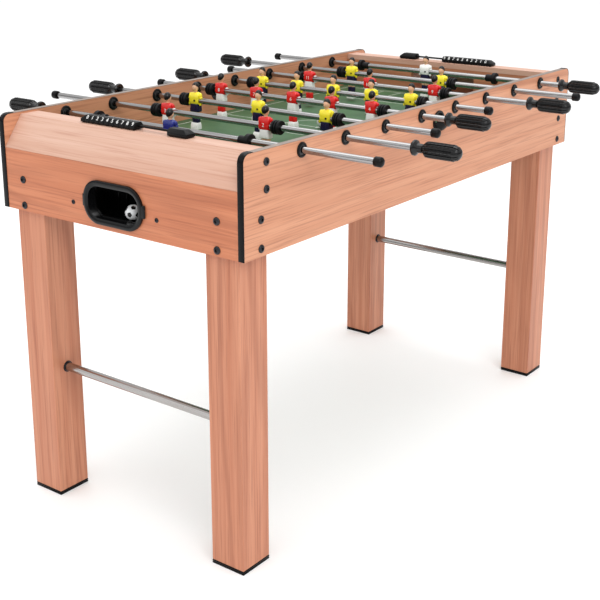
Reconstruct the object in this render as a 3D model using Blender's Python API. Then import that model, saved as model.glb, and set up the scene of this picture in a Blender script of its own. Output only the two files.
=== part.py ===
"""Table football table, 4 ft class: a wooden cabinet on four legs with eight playing rods.

Units are metres. X runs along the cabinet, Y along the rods and Z up; the floor is z = 0 and the
cabinet's centre stands over the origin. Rod 1 is the one nearest the -X end.
"""

from math import cos, hypot, pi, sin

import bmesh
import bpy
from mathutils import Matrix, Vector

# ---- cabinet ---------------------------------------------------------------------------------
LENGTH = 1.219
WIDTH = 0.600
HEIGHT = 0.775
CABINET_HEIGHT = 0.180
BOARD = 0.012
CORNER_RADIUS = 0.015
GAP = 0.0003
EDGE_BEVEL = 0.0012

BATTEN = 0.010
BATTEN_LIFT = 0.005
FIELD_DEPTH = 0.085
FIELD_BOARD = 0.009

SLOPE_RUN = 0.0425
SLOPE_DROP = 0.062
LEDGE_DROP = 0.004
LEDGE_WIDTH = 0.041
GOAL_WIDTH = 0.180
GOAL_HEAD = 0.025

# ---- legs ------------------------------------------------------------------------------------
LEG_SIDE = 0.074
PAD_HEIGHT = 0.007
PAD_GROOVE = 0.001
BAR_RADIUS = 0.0085
BAR_HEIGHT = 0.270
BAR_SOCKET = 0.012

# ---- ball return and serving cups ------------------------------------------------------------
RETURN_WIDTH = 0.147
RETURN_HEIGHT = 0.081
RETURN_DROP = 0.1303
RETURN_RIM = 0.004
RETURN_LIP = 0.009
RETURN_WALL = 0.003
RETURN_CORNER = 0.037
HOPPER_SPARE = 0.002

SERVE_DROP = 0.037
SERVE_BORE = 0.0160
SERVE_WALL = 0.0016
SERVE_FLANGE = 0.0215
SERVE_RIM = 0.0025

# ---- rods ------------------------------------------------------------------------------------
ROD_COUNT = 8
ROD_END_SPACE = 0.071
ROD_DROP = 0.0175
ROD_RADIUS = 0.006
RUNNING_GAP = 0.0003
BUSH_WALL = 0.0027
BUSH_LIP = 0.0045
BUSH_RIM = 0.0035

BUMPER_WALL = 0.0075
BUMPER_LENGTH = 0.018
BUMPER_FROM_MAN = 0.0195
COLLAR_WALL = 0.0025
COLLAR_LENGTH = 0.018
CAP_WALL = 0.0025
CAP_LENGTH = 0.016
CAP_ROUND = 0.002

HANDLE_LENGTH = 0.094
HANDLE_SOCKET = 0.030
NECK_WALL = 0.0017
NECK_START = 0.011
NECK_LENGTH = 0.010
FLANGE_LIP = 0.006
FLANGE_LENGTH = 0.006
GRIP_SWELL = 0.006
GRIP_START = 0.029
DOME = 0.013
STOP_SPARE = 0.0006

# ---- figures ---------------------------------------------------------------------------------
FOOT_CLEARANCE = 0.006
MAN_RISE = 0.0390

# ---- scorers ---------------------------------------------------------------------------------
SCORER_LENGTH = 0.262
SCORER_DEPTH = 0.024
SCORER_HEIGHT = 0.014
BEAD_COUNT = 10
BEAD_PITCH = 0.0128
SCORER_END = 0.010
SCORER_FAR_END = 0.045
SCORER_WIRE = 0.0026
SCORER_GROOVE = 0.0012
WIRE_INSET = 0.004
BEAD_LIFT = 0.0012
# Shares of a bead's or block's own width, height or length.
BEAD_SHOULDER = 0.50
BEAD_TOP = 0.55
BEAD_WAIST = 0.86
BLOCK_TOE = 0.55
BLOCK_RAMP = 0.35

# ---- derived ---------------------------------------------------------------------------------
HALF_LENGTH = LENGTH / 2
HALF_WIDTH = WIDTH / 2
INNER_Y = HALF_WIDTH - BOARD
CABINET_BOTTOM = HEIGHT - CABINET_HEIGHT
FIELD_TOP = HEIGHT - FIELD_DEPTH
FIELD_BOTTOM = FIELD_TOP - FIELD_BOARD
ROD_Z = HEIGHT - ROD_DROP
LEDGE_TOP = HEIGHT - LEDGE_DROP
APRON_TOP = HEIGHT - SLOPE_DROP - GAP
APRON_INNER = HALF_LENGTH - BOARD
LEDGE_OUTER = HALF_LENGTH - SLOPE_RUN
LEDGE_INNER = LEDGE_OUTER - LEDGE_WIDTH
WALL_OUTER = LEDGE_INNER + BOARD
ROD_PITCH = 2 * (LEDGE_INNER - ROD_END_SPACE) / (ROD_COUNT - 1)
MAN_DROP = FIELD_DEPTH - ROD_DROP - FOOT_CLEARANCE
BUSH_BARREL = ROD_RADIUS + RUNNING_GAP + BUSH_WALL
BUSH_FLANGE = BUSH_BARREL + BUSH_LIP
BUSH_INNER_FACE = INNER_Y - GAP - BUSH_RIM
BUSH_OUTER_FACE = HALF_WIDTH + GAP + BUSH_RIM
BUMPER_RADIUS = ROD_RADIUS + BUMPER_WALL
LEG_OUTER_X = APRON_INNER - GAP
LEG_OUTER_Y = INNER_Y - BATTEN - GAP
LEG_TOP = FIELD_BOTTOM - 5 * GAP
SERVE_Z = HEIGHT - SERVE_DROP
RETURN_Z = HEIGHT - RETURN_DROP
SOCKET_GAP = GAP

# Kinds of rod, by the number of figures. Travel is the slide from the middle until a rubber stop
# meets the inner bushing. Spare is the room left then between the outer bushing and the handle or
# the cap. On a one-figure rod the handle meets the bushing first.
GOALIE, PAIR, TRIO, FIVE = 1, 2, 3, 5
TRAVEL = {GOALIE: 0.0896, PAIR: 0.1211, TRIO: 0.0761, FIVE: 0.0463}
HANDLE_SPARE = {GOALIE: -0.0379, PAIR: 0.0236, TRIO: 0.0160, FIVE: 0.0235}
CAP_SPARE = {GOALIE: 0.0596, PAIR: 0.0256, TRIO: 0.0268, FIVE: 0.0250}

# Handle is the handle's side: +1 at the rear (+Y), -1 at the front (-Y). Rest is how far the rod
# stands from the middle. Faces is +1 for figures that look to +X.
RODS = (
    {"kind": GOALIE, "handle": 1, "rest": 0.0035, "faces": 1},
    {"kind": PAIR, "handle": -1, "rest": 0.0070, "faces": 1},
    {"kind": TRIO, "handle": 1, "rest": 0.0050, "faces": -1},
    {"kind": FIVE, "handle": -1, "rest": 0.0165, "faces": 1},
    {"kind": FIVE, "handle": 1, "rest": 0.0050, "faces": -1},
    {"kind": TRIO, "handle": -1, "rest": -0.0040, "faces": 1},
    {"kind": PAIR, "handle": 1, "rest": 0.0100, "faces": -1},
    {"kind": GOALIE, "handle": -1, "rest": 0.0050, "faces": -1},
)

# Base colours, with metalness and roughness, by slot.
FINISHES = {
    "cabinet_wood": ((0.62, 0.28, 0.15), 0.0, 0.45),
    "leg_wood": ((0.60, 0.27, 0.15), 0.0, 0.45),
    "field_print": ((0.05, 0.19, 0.07), 0.0, 0.50),
    "steel": ((0.62, 0.62, 0.64), 1.0, 0.25),
    "rod_assembly": ((0.62, 0.62, 0.64), 1.0, 0.25),
    "black_rubber": ((0.02, 0.02, 0.02), 0.0, 0.70),
    "black_plastic": ((0.02, 0.02, 0.02), 0.0, 0.40),
}

BORE_ROUND = 16
SMALL_ROUND = 12
SMOOTH_ANGLE = pi / 5


def clear_scene():
    for item in list(bpy.data.objects):
        bpy.data.objects.remove(item, do_unlink=True)


def finish(slot):
    """The material of one slot, made once per object so that each has its own."""
    colour, metallic, roughness = FINISHES[slot]
    material = bpy.data.materials.new(slot)
    material.use_nodes = True
    shader = material.node_tree.nodes["Principled BSDF"]
    shader.inputs["Base Color"].default_value = (*colour, 1.0)
    shader.inputs["Metallic"].default_value = metallic
    shader.inputs["Roughness"].default_value = roughness
    return material


def to_object(name, bm, slot, place=(0.0, 0.0, 0.0)):
    """A scene object from a bmesh, with its own material and its origin at place."""
    bmesh.ops.recalc_face_normals(bm, faces=bm.faces)
    mesh = bpy.data.meshes.new(name)
    bm.to_mesh(mesh)
    bm.free()
    mesh.materials.append(finish(slot))
    made = bpy.data.objects.new(name, mesh)
    made.location = place
    bpy.context.scene.collection.objects.link(made)
    return made


def smoothed(made):
    """Shades a round piece smooth, with its sharp edges kept."""
    for face in made.data.polygons:
        face.use_smooth = True
    made.data.set_sharp_from_angle(angle=SMOOTH_ANGLE)
    return made


def add_box(bm, low, high):
    """A box between two corners."""
    low, high = Vector(low), Vector(high)
    size = Matrix.Diagonal((*(high - low), 1.0))
    bmesh.ops.create_cube(bm, size=1.0, matrix=Matrix.Translation((low + high) / 2) @ size)


def box(low, high):
    bm = bmesh.new()
    add_box(bm, low, high)
    return bm


def prism(points, axis, start, end):
    """A flat outline swept from start to end. Points are (x, z) for axis Y and (y, z) for axis X."""
    bm = bmesh.new()
    if axis == "Y":
        verts = [bm.verts.new((a, start, b)) for a, b in points]
        sweep = (0.0, end - start, 0.0)
    else:
        verts = [bm.verts.new((start, a, b)) for a, b in points]
        sweep = (end - start, 0.0, 0.0)
    face = bm.faces.new(verts)
    swept = bmesh.ops.extrude_face_region(bm, geom=[face], use_keep_orig=True)
    moved = [item for item in swept["geom"] if isinstance(item, bmesh.types.BMVert)]
    bmesh.ops.translate(bm, vec=sweep, verts=moved)
    bmesh.ops.recalc_face_normals(bm, faces=bm.faces)
    return bm


def lathe(profile, segments=BORE_ROUND, closed=False):
    """Points (radius, y) turned about the Y axis. A closed profile makes a ring with a bore."""
    bm = bmesh.new()
    verts = [bm.verts.new((radius, along, 0.0)) for radius, along in profile]
    pairs = list(zip(verts, verts[1:]))
    if closed:
        pairs.append((verts[-1], verts[0]))
    edges = [bm.edges.new(pair) for pair in pairs]
    bmesh.ops.spin(
        bm,
        geom=verts + edges,
        cent=(0.0, 0.0, 0.0),
        axis=(0.0, 1.0, 0.0),
        angle=2 * pi,
        steps=segments,
        use_merge=True,
    )
    bmesh.ops.remove_doubles(bm, verts=bm.verts, dist=1e-6)
    bmesh.ops.recalc_face_normals(bm, faces=bm.faces)
    return bm


def loft(rings):
    """A closed skin through rings of points that all have the same count."""
    bm = bmesh.new()
    rows = [[bm.verts.new(point) for point in ring] for ring in rings]
    count = len(rows[0])
    for lower, upper in zip(rows, rows[1:]):
        for i in range(count):
            j = (i + 1) % count
            bm.faces.new((lower[i], lower[j], upper[j], upper[i]))
    bm.faces.new(rows[0][::-1])
    bm.faces.new(rows[-1])
    bmesh.ops.recalc_face_normals(bm, faces=bm.faces)
    return bm


def rounded(half_width, half_height, radius, steps=5):
    """A rectangle with round corners, counter-clockwise, centred on zero."""
    points = []
    for turn, (side, up) in enumerate(((1, 1), (-1, 1), (-1, -1), (1, -1))):
        centre_a, centre_b = side * (half_width - radius), up * (half_height - radius)
        for step in range(steps + 1):
            angle = (turn + step / steps) * pi / 2
            points.append((centre_a + radius * cos(angle), centre_b + radius * sin(angle)))
    return points


def combine(target, tool_bm, operation):
    """One Boolean on target with a tool made from a bmesh, applied at once."""
    mesh = bpy.data.meshes.new("tool")
    bmesh.ops.recalc_face_normals(tool_bm, faces=tool_bm.faces)
    tool_bm.to_mesh(mesh)
    tool_bm.free()
    tool = bpy.data.objects.new("tool", mesh)
    tool.hide_render = True
    tool.display_type = "WIRE"
    tool.location = target.location
    bpy.context.scene.collection.objects.link(tool)
    modifier = target.modifiers.new(operation, "BOOLEAN")
    modifier.operation = operation
    modifier.solver = "EXACT"
    modifier.object = tool
    bpy.context.view_layer.update()
    with bpy.context.temp_override(object=target, active_object=target, selected_objects=[target]):
        bpy.ops.object.modifier_apply(modifier=modifier.name)
    bpy.data.objects.remove(tool, do_unlink=True)
    bpy.data.meshes.remove(mesh)


def softened(bm):
    """The same block with every edge cut back by a small flat bevel."""
    bmesh.ops.bevel(bm, geom=bm.edges[:], offset=EDGE_BEVEL, segments=1, affect="EDGES")
    return bm


def moved(bm, offset):
    bmesh.ops.translate(bm, vec=offset, verts=bm.verts)
    return bm


def mirrored_x(points, side):
    """An (x, z) outline for the -X end, or the same outline turned to the +X end."""
    return [(side * x, z) for x, z in points]


def rod_x(index):
    return (index - (ROD_COUNT - 1) / 2) * ROD_PITCH


def stop_reach(kind):
    """How far a rod's rubber stops reach from the middle of its figures."""
    return BUSH_INNER_FACE - STOP_SPARE - TRAVEL[kind]


def men_at(kind):
    """Places of a rod's figures, measured from the middle one or pair."""
    if kind == GOALIE:
        return [0.0]
    outermost = stop_reach(kind) - BUMPER_LENGTH - BUMPER_FROM_MAN
    return [outermost * (2 * i / (kind - 1) - 1) for i in range(kind)]


def handle_start(kind):
    """Distance from the middle of the figures to the handle's flange."""
    return BUSH_OUTER_FACE + TRAVEL[kind] + HANDLE_SPARE[kind]


def cap_start(kind):
    """Distance from the middle of the figures to the inner end of the cap, on the other side."""
    return BUSH_OUTER_FACE + TRAVEL[kind] + CAP_SPARE[kind]


# ---- cabinet pieces --------------------------------------------------------------------------


def side_panel(name, side):
    """A long board with round upper corners, bores for the bushings and serving cup, and a batten."""
    corner_z, corner_x = HEIGHT - CORNER_RADIUS, HALF_LENGTH - CORNER_RADIUS
    outline = [(-HALF_LENGTH, CABINET_BOTTOM), (HALF_LENGTH, CABINET_BOTTOM)]
    for step in range(7):
        angle = step / 6 * pi / 2
        outline.append((corner_x + CORNER_RADIUS * cos(angle), corner_z + CORNER_RADIUS * sin(angle)))
    for step in range(7):
        angle = pi / 2 + step / 6 * pi / 2
        outline.append((-corner_x + CORNER_RADIUS * cos(angle), corner_z + CORNER_RADIUS * sin(angle)))
    made = to_object(name, prism(outline, "Y", side * INNER_Y, side * HALF_WIDTH), "cabinet_wood")
    batten_x = APRON_INNER - 2 * GAP
    inner, outer = side * (INNER_Y - BATTEN), side * (INNER_Y + BOARD / 4)
    batten = box(
        (-batten_x, min(inner, outer), CABINET_BOTTOM + BATTEN_LIFT),
        (batten_x, max(inner, outer), FIELD_BOTTOM - GAP),
    )
    combine(made, batten, "UNION")
    cutter = bmesh.new()
    for index in range(ROD_COUNT):
        add_bore(cutter, rod_x(index), ROD_Z, BUSH_BARREL + GAP, side)
    add_bore(cutter, 0.0, SERVE_Z, SERVE_BORE + SERVE_WALL + GAP, side)
    combine(made, cutter, "DIFFERENCE")
    return made


def add_bore(bm, x, z, radius, side):
    """A round cutter through a side panel."""
    centre = Matrix.Translation((x, side * (INNER_Y + BOARD / 2), z))
    bmesh.ops.create_cone(
        bm,
        cap_ends=True,
        segments=BORE_ROUND,
        radius1=radius,
        radius2=radius,
        depth=2 * BOARD,
        matrix=centre @ Matrix.Rotation(pi / 2, 4, "X"),
    )


def end_apron(name, side):
    """The upright board between the side panels at one end, cut for the ball return."""
    half_y = INNER_Y - GAP
    low = (min(side * APRON_INNER, side * HALF_LENGTH), -half_y, CABINET_BOTTOM)
    high = (max(side * APRON_INNER, side * HALF_LENGTH), half_y, APRON_TOP)
    made = to_object(name, box(low, high), "cabinet_wood")
    throat = [
        (y, RETURN_Z + z)
        for y, z in rounded(
            RETURN_WIDTH / 2 - RETURN_LIP + GAP,
            RETURN_HEIGHT / 2 - RETURN_LIP + GAP,
            RETURN_CORNER - RETURN_LIP + GAP,
        )
    ]
    span = prism(throat, "X", side * (HALF_LENGTH + BOARD), side * (APRON_INNER - BOARD))
    combine(made, span, "DIFFERENCE")
    return made


def end_ledge(name, side):
    """The sloping board and the flat ledge above it, which carries the scorer."""
    top, outer = LEDGE_TOP, HALF_LENGTH
    foot = HEIGHT - SLOPE_DROP
    rise = top - foot
    slant = hypot(SLOPE_RUN, rise)
    run_in = BOARD * slant / rise
    underside = top - BOARD
    inner_turn = -outer + run_in + (underside - foot) * SLOPE_RUN / rise
    outline = [
        (-outer, foot),
        (-LEDGE_OUTER, top),
        (-LEDGE_INNER, top),
        (-LEDGE_INNER, underside),
        (inner_turn, underside),
        (-outer + run_in, foot),
    ]
    half_y = INNER_Y - GAP
    return to_object(name, prism(mirrored_x(outline, -side), "Y", -half_y, half_y), "cabinet_wood")


def goal_wall(name, side):
    """The inner end wall: a board standing on the field, with the goal mouth cut from below."""
    half_y, half_goal = INNER_Y - GAP, GOAL_WIDTH / 2
    top = LEDGE_TOP - BOARD - GAP
    foot, head = FIELD_TOP + GAP, HEIGHT - GOAL_HEAD
    outline = [
        (-half_y, foot),
        (-half_goal, foot),
        (-half_goal, head),
        (half_goal, head),
        (half_goal, foot),
        (half_y, foot),
        (half_y, top),
        (-half_y, top),
    ]
    return to_object(name, prism(outline, "X", side * LEDGE_INNER, side * WALL_OUTER), "cabinet_wood")


def playfield():
    half_y = INNER_Y - GAP
    low = (-WALL_OUTER, -half_y, FIELD_BOTTOM)
    high = (WALL_OUTER, half_y, FIELD_TOP)
    return to_object("playfield", box(low, high), "field_print")


def leg(name, end, side):
    """A square post with a blind socket for the cross bar on its inner face."""
    outer_x, inner_x = end * LEG_OUTER_X, end * (LEG_OUTER_X - LEG_SIDE)
    outer_y, inner_y = side * LEG_OUTER_Y, side * (LEG_OUTER_Y - LEG_SIDE)
    low = (min(outer_x, inner_x), min(outer_y, inner_y), PAD_HEIGHT + GAP)
    high = (max(outer_x, inner_x), max(outer_y, inner_y), LEG_TOP)
    made = to_object(name, softened(box(low, high)), "leg_wood")
    hole = bmesh.new()
    centre = Matrix.Translation(((outer_x + inner_x) / 2, inner_y, BAR_HEIGHT))
    bmesh.ops.create_cone(
        hole,
        cap_ends=True,
        segments=BORE_ROUND,
        radius1=BAR_RADIUS + SOCKET_GAP,
        radius2=BAR_RADIUS + SOCKET_GAP,
        depth=2 * BAR_SOCKET,
        matrix=centre @ Matrix.Rotation(pi / 2, 4, "X"),
    )
    combine(made, hole, "DIFFERENCE")
    return made


def foot_pad(name, end, side):
    """A plate under a leg with a shallow groove round its edge."""
    centre_x = end * (LEG_OUTER_X - LEG_SIDE / 2)
    centre_y = side * (LEG_OUTER_Y - LEG_SIDE / 2)
    full, waist = LEG_SIDE / 2, LEG_SIDE / 2 - PAD_GROOVE
    levels = (
        (0.0, full),
        (0.40 * PAD_HEIGHT, full),
        (0.47 * PAD_HEIGHT, waist),
        (0.53 * PAD_HEIGHT, waist),
        (0.60 * PAD_HEIGHT, full),
        (PAD_HEIGHT, full),
    )
    corners = ((1, 1), (-1, 1), (-1, -1), (1, -1))
    rings = [[(s * half, t * half, z) for s, t in corners] for z, half in levels]
    return to_object(name, loft(rings), "black_plastic", (centre_x, centre_y, 0.0))


def cross_bar(name, end):
    """A round steel bar between the two legs of one end, held in their sockets."""
    reach = LEG_OUTER_Y - LEG_SIDE + BAR_SOCKET - 2 * GAP
    profile = [(0.0, -reach), (BAR_RADIUS, -reach), (BAR_RADIUS, reach), (0.0, reach)]
    place = (end * (LEG_OUTER_X - LEG_SIDE / 2), 0.0, BAR_HEIGHT)
    return smoothed(to_object(name, lathe(profile, BORE_ROUND), "steel", place))


def ball_return(name, side):
    """The plastic ball return: a rim outside the apron, and a hopper behind it, open at the top."""
    rim_in, rim_out = HALF_LENGTH + GAP, HALF_LENGTH + GAP + RETURN_RIM
    throat_half = RETURN_WIDTH / 2 - RETURN_LIP
    throat_rise = RETURN_HEIGHT / 2 - RETURN_LIP
    corner = RETURN_CORNER - RETURN_LIP
    hopper_out, hopper_in = APRON_INNER - GAP, WALL_OUTER + GAP
    half_y = GOAL_WIDTH / 2 + RETURN_WALL + HOPPER_SPARE
    floor = RETURN_Z - throat_rise - RETURN_WALL
    top = FIELD_TOP - GAP

    def outline(half_a, half_b, radius):
        return [(y, RETURN_Z + z) for y, z in rounded(half_a, half_b, radius)]

    rim = outline(RETURN_WIDTH / 2, RETURN_HEIGHT / 2, RETURN_CORNER)
    made = to_object(name, prism(rim, "X", side * rim_in, side * rim_out), "black_plastic")
    throat = prism(
        outline(throat_half, throat_rise, corner),
        "X",
        side * (rim_in + RETURN_RIM / 2),
        side * (hopper_out - RETURN_WALL / 2),
    )
    combine(made, throat, "UNION")
    xs = sorted((side * hopper_out, side * hopper_in))
    combine(made, box((xs[0], -half_y, floor), (xs[1], half_y, top)), "UNION")
    mouth = prism(
        outline(throat_half - RETURN_WALL, throat_rise - RETURN_WALL, corner - RETURN_WALL),
        "X",
        side * (rim_out + RETURN_RIM),
        side * (hopper_out - 2 * RETURN_WALL),
    )
    combine(made, mouth, "DIFFERENCE")
    xs = sorted((side * (hopper_out - RETURN_WALL), side * (hopper_in + RETURN_WALL)))
    well = box(
        (xs[0], -half_y + RETURN_WALL, floor + RETURN_WALL),
        (xs[1], half_y - RETURN_WALL, top + RETURN_RIM),
    )
    combine(made, well, "DIFFERENCE")
    return made


def serving_cup(name, side):
    """A flanged sleeve through a side panel, with a half-round scoop outside that holds the ball."""
    sleeve = SERVE_BORE + SERVE_WALL
    face = HALF_WIDTH + GAP
    inner_end = INNER_Y - GAP
    ring = [
        (SERVE_BORE, inner_end),
        (sleeve, inner_end),
        (sleeve, face),
        (SERVE_FLANGE, face),
        (SERVE_FLANGE, face + SERVE_RIM),
        (SERVE_BORE, face + SERVE_RIM),
    ]
    bm = lathe([(radius, side * along) for radius, along in ring], BORE_ROUND, closed=True)
    made = to_object(name, bm, "black_plastic", (0.0, 0.0, SERVE_Z))
    scoop = scoop_shell(face + SERVE_RIM / 2, side)
    combine(made, scoop, "UNION")
    return smoothed(made)


def scoop_shell(start, side):
    """A quarter ball with a wall, open upwards and towards the panel."""
    outer, inner = SERVE_FLANGE - SERVE_WALL / 2, SERVE_BORE + SERVE_WALL / 2
    columns, rows = 8, 4
    bm = bmesh.new()
    skins = []
    for radius in (outer, inner):
        grid = []
        for column in range(columns + 1):
            around = pi + column / columns * pi
            line = []
            for row in range(rows + 1):
                out = row / rows * pi / 2
                reach = radius * cos(out)
                point = (reach * cos(around), side * (start + radius * sin(out)), reach * sin(around))
                line.append(bm.verts.new(point))
            grid.append(line)
        skins.append(grid)
    for grid in skins:
        for column in range(columns):
            for row in range(rows):
                bm.faces.new(
                    (
                        grid[column][row],
                        grid[column + 1][row],
                        grid[column + 1][row + 1],
                        grid[column][row + 1],
                    )
                )
    first, second = skins
    for column in range(columns):
        bm.faces.new((first[column][0], first[column + 1][0], second[column + 1][0], second[column][0]))
    for column in (0, columns):
        for row in range(rows):
            bm.faces.new(
                (
                    first[column][row],
                    first[column][row + 1],
                    second[column][row + 1],
                    second[column][row],
                )
            )
    bmesh.ops.remove_doubles(bm, verts=bm.verts, dist=1e-6)
    bmesh.ops.recalc_face_normals(bm, faces=bm.faces)
    return bm


# ---- rods ------------------------------------------------------------------------------------


def bushing(name, index, side):
    """A round bearing through a side panel with a flange on each face."""
    bore = ROD_RADIUS + RUNNING_GAP
    inner, outer = INNER_Y - GAP, HALF_WIDTH + GAP
    ring = [
        (bore, BUSH_INNER_FACE),
        (BUSH_FLANGE, BUSH_INNER_FACE),
        (BUSH_FLANGE, inner),
        (BUSH_BARREL, inner),
        (BUSH_BARREL, outer),
        (BUSH_FLANGE, outer),
        (BUSH_FLANGE, BUSH_OUTER_FACE),
        (bore, BUSH_OUTER_FACE),
    ]
    centre = INNER_Y + BOARD / 2
    profile = [(radius, side * (along - centre)) for radius, along in ring]
    bm = lathe(profile, segments=SMALL_ROUND, closed=True)
    return smoothed(to_object(name, bm, "black_plastic", (rod_x(index), side * centre, ROD_Z)))


def half_profile(kind, end, capped):
    """Radius and place along one half of a rod, outwards from its middle."""
    reach = stop_reach(kind)
    points = []
    bumper = reach - BUMPER_LENGTH
    if kind == GOALIE:
        bumper = reach - BUMPER_LENGTH / 2
        collar = ROD_RADIUS + COLLAR_WALL
        points += [
            (ROD_RADIUS, bumper - COLLAR_LENGTH),
            (collar, bumper - COLLAR_LENGTH),
            (collar, bumper),
        ]
    else:
        points.append((ROD_RADIUS, bumper))
    points += [(BUMPER_RADIUS, bumper), (BUMPER_RADIUS, reach), (ROD_RADIUS, reach), (ROD_RADIUS, end)]
    if capped:
        cap = ROD_RADIUS + CAP_WALL
        points += [
            (cap, end),
            (cap, end + CAP_LENGTH - CAP_ROUND),
            (cap - CAP_ROUND, end + CAP_LENGTH),
            (0.0, end + CAP_LENGTH),
        ]
    else:
        points.append((0.0, end))
    return points


def rod(index):
    """A rod with its figures, rubber stops and end cap, all fixed to it."""
    entry = RODS[index]
    kind, handle = entry["kind"], entry["handle"]
    handle_end = handle_start(kind) + HANDLE_SOCKET - GAP
    grip_half = half_profile(kind, handle_end, capped=False)
    cap_half = half_profile(kind, cap_start(kind), capped=True)
    profile = [(radius, -handle * along) for radius, along in reversed(cap_half)]
    profile += [(radius, handle * along) for radius, along in grip_half]
    place = (rod_x(index), entry["rest"], ROD_Z)
    made = to_object(f"rod_{index + 1}", lathe(profile, SMALL_ROUND), "rod_assembly", place)
    for along in men_at(kind):
        combine(made, moved(figure(entry["faces"]), (0.0, along, 0.0)), "UNION")
    return smoothed(made)


def figure(faces):
    """A moulded player hanging from the rod's axis, faces = +1 looking to +X."""
    # Height, half depth in front, half depth behind and half width of each level.
    levels = (
        (-MAN_DROP, 0.0085, 0.0070, 0.0085),
        (-0.72 * MAN_DROP, 0.0092, 0.0076, 0.0108),
        (-0.69 * MAN_DROP, 0.0056, 0.0054, 0.0092),
        (-0.36 * MAN_DROP, 0.0062, 0.0060, 0.0104),
        (-0.16 * MAN_DROP, 0.0084, 0.0082, 0.0124),
        (0.15 * MAN_RISE, 0.0098, 0.0094, 0.0160),
        (0.44 * MAN_RISE, 0.0072, 0.0070, 0.0140),
        (0.52 * MAN_RISE, 0.0056, 0.0054, 0.0060),
        (0.70 * MAN_RISE, 0.0086, 0.0086, 0.0086),
        (MAN_RISE, 0.0056, 0.0060, 0.0058),
    )
    rings = []
    for height, front, back, half in levels:
        outline = ((front, 0.6), (0.0, 1.0), (-back, 0.6), (-back, -0.6), (0.0, -1.0), (front, -0.6))
        rings.append([(faces * x, half * share, height) for x, share in outline])
    return loft(rings)


def handle(index):
    """A moulded grip with a thumb flange, a neck and a barrel, pushed on the rod's end."""
    entry = RODS[index]
    kind, side = entry["kind"], entry["handle"]
    bore = ROD_RADIUS + GAP
    neck = bore + NECK_WALL
    flange, grip = neck + FLANGE_LIP, neck + GRIP_SWELL
    profile = [
        (0.0, HANDLE_SOCKET),
        (bore, HANDLE_SOCKET),
        (bore, 0.0),
        (flange, 0.0),
        (flange, FLANGE_LENGTH),
        (neck, NECK_START),
        (neck, NECK_START + NECK_LENGTH),
        (0.92 * grip, GRIP_START),
        (grip, HANDLE_LENGTH - DOME),
        (0.80 * grip, HANDLE_LENGTH - 0.35 * DOME),
        (0.50 * grip, HANDLE_LENGTH - 0.07 * DOME),
        (0.0, HANDLE_LENGTH),
    ]
    bm = lathe([(radius, side * along) for radius, along in profile], SMALL_ROUND)
    place = (rod_x(index), entry["rest"] + side * handle_start(kind), ROD_Z)
    return smoothed(to_object(f"handle_{index + 1}", bm, "black_plastic", place))


# ---- scorers ---------------------------------------------------------------------------------


def bead_section(scale):
    """Cross-section of a bead, (x, z) about its wire, with the upper corners cut."""
    half, high = SCORER_DEPTH / 2 * scale, SCORER_HEIGHT * scale
    low = -SCORER_HEIGHT / 2
    return [
        (-half, low + BEAD_LIFT),
        (half, low + BEAD_LIFT),
        (half, low + BEAD_SHOULDER * high),
        (BEAD_TOP * half, low + high),
        (-BEAD_TOP * half, low + high),
        (-half, low + BEAD_SHOULDER * high),
    ]


def scorer_place(end):
    wire_z = LEDGE_TOP + GAP + SCORER_HEIGHT / 2
    return (end * (LEDGE_INNER + LEDGE_WIDTH / 2), 0.0, wire_z)


def score_rail(name, end):
    """A wire between two end blocks on the ledge. The beads start at the +Y block of the -X end."""
    side = -end
    half, low = SCORER_DEPTH / 2, -SCORER_HEIGHT / 2
    first = side * SCORER_LENGTH / 2
    second = -first
    ends = (
        (first, first - side * SCORER_END),
        (second, second + side * SCORER_FAR_END),
    )
    reach = SCORER_LENGTH / 2 - WIRE_INSET
    profile = [(0.0, -reach), (SCORER_WIRE, -reach), (SCORER_WIRE, reach), (0.0, reach)]
    made = to_object(name, lathe(profile, SMALL_ROUND), "black_plastic", scorer_place(end))
    for outer, inner in ends:
        middle = outer + (inner - outer) * BLOCK_RAMP
        rings = []
        for along, scale in ((outer, BLOCK_TOE), (middle, 1.0), (inner, 1.0)):
            high = SCORER_HEIGHT * scale
            rings.append(
                [
                    (-half, along, low),
                    (half, along, low),
                    (half, along, low + BEAD_SHOULDER * high),
                    (BEAD_TOP * half, along, low + high),
                    (-BEAD_TOP * half, along, low + high),
                    (-half, along, low + BEAD_SHOULDER * high),
                ]
            )
        combine(made, loft(rings), "UNION")
    return made


def score_beads(name, end):
    """Ten beads side by side, drawn as one block with a groove between neighbours."""
    side = -end
    start = SCORER_LENGTH / 2 - SCORER_END - GAP
    rings = []
    for bead in range(BEAD_COUNT):
        near = start - bead * BEAD_PITCH
        far = near - BEAD_PITCH
        for along, scale in ((near, BEAD_WAIST), (near - SCORER_GROOVE, 1.0), (far + SCORER_GROOVE, 1.0)):
            rings.append([(x, side * along, z) for x, z in bead_section(scale)])
    rings.append([(x, side * far, z) for x, z in bead_section(BEAD_WAIST)])
    made = to_object(name, loft(rings), "black_plastic", scorer_place(end))
    bore = bmesh.new()
    bmesh.ops.create_cone(
        bore,
        cap_ends=True,
        segments=SMALL_ROUND,
        radius1=SCORER_WIRE + GAP,
        radius2=SCORER_WIRE + GAP,
        depth=SCORER_LENGTH,
        matrix=Matrix.Rotation(pi / 2, 4, "X"),
    )
    combine(made, bore, "DIFFERENCE")
    return made


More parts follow.
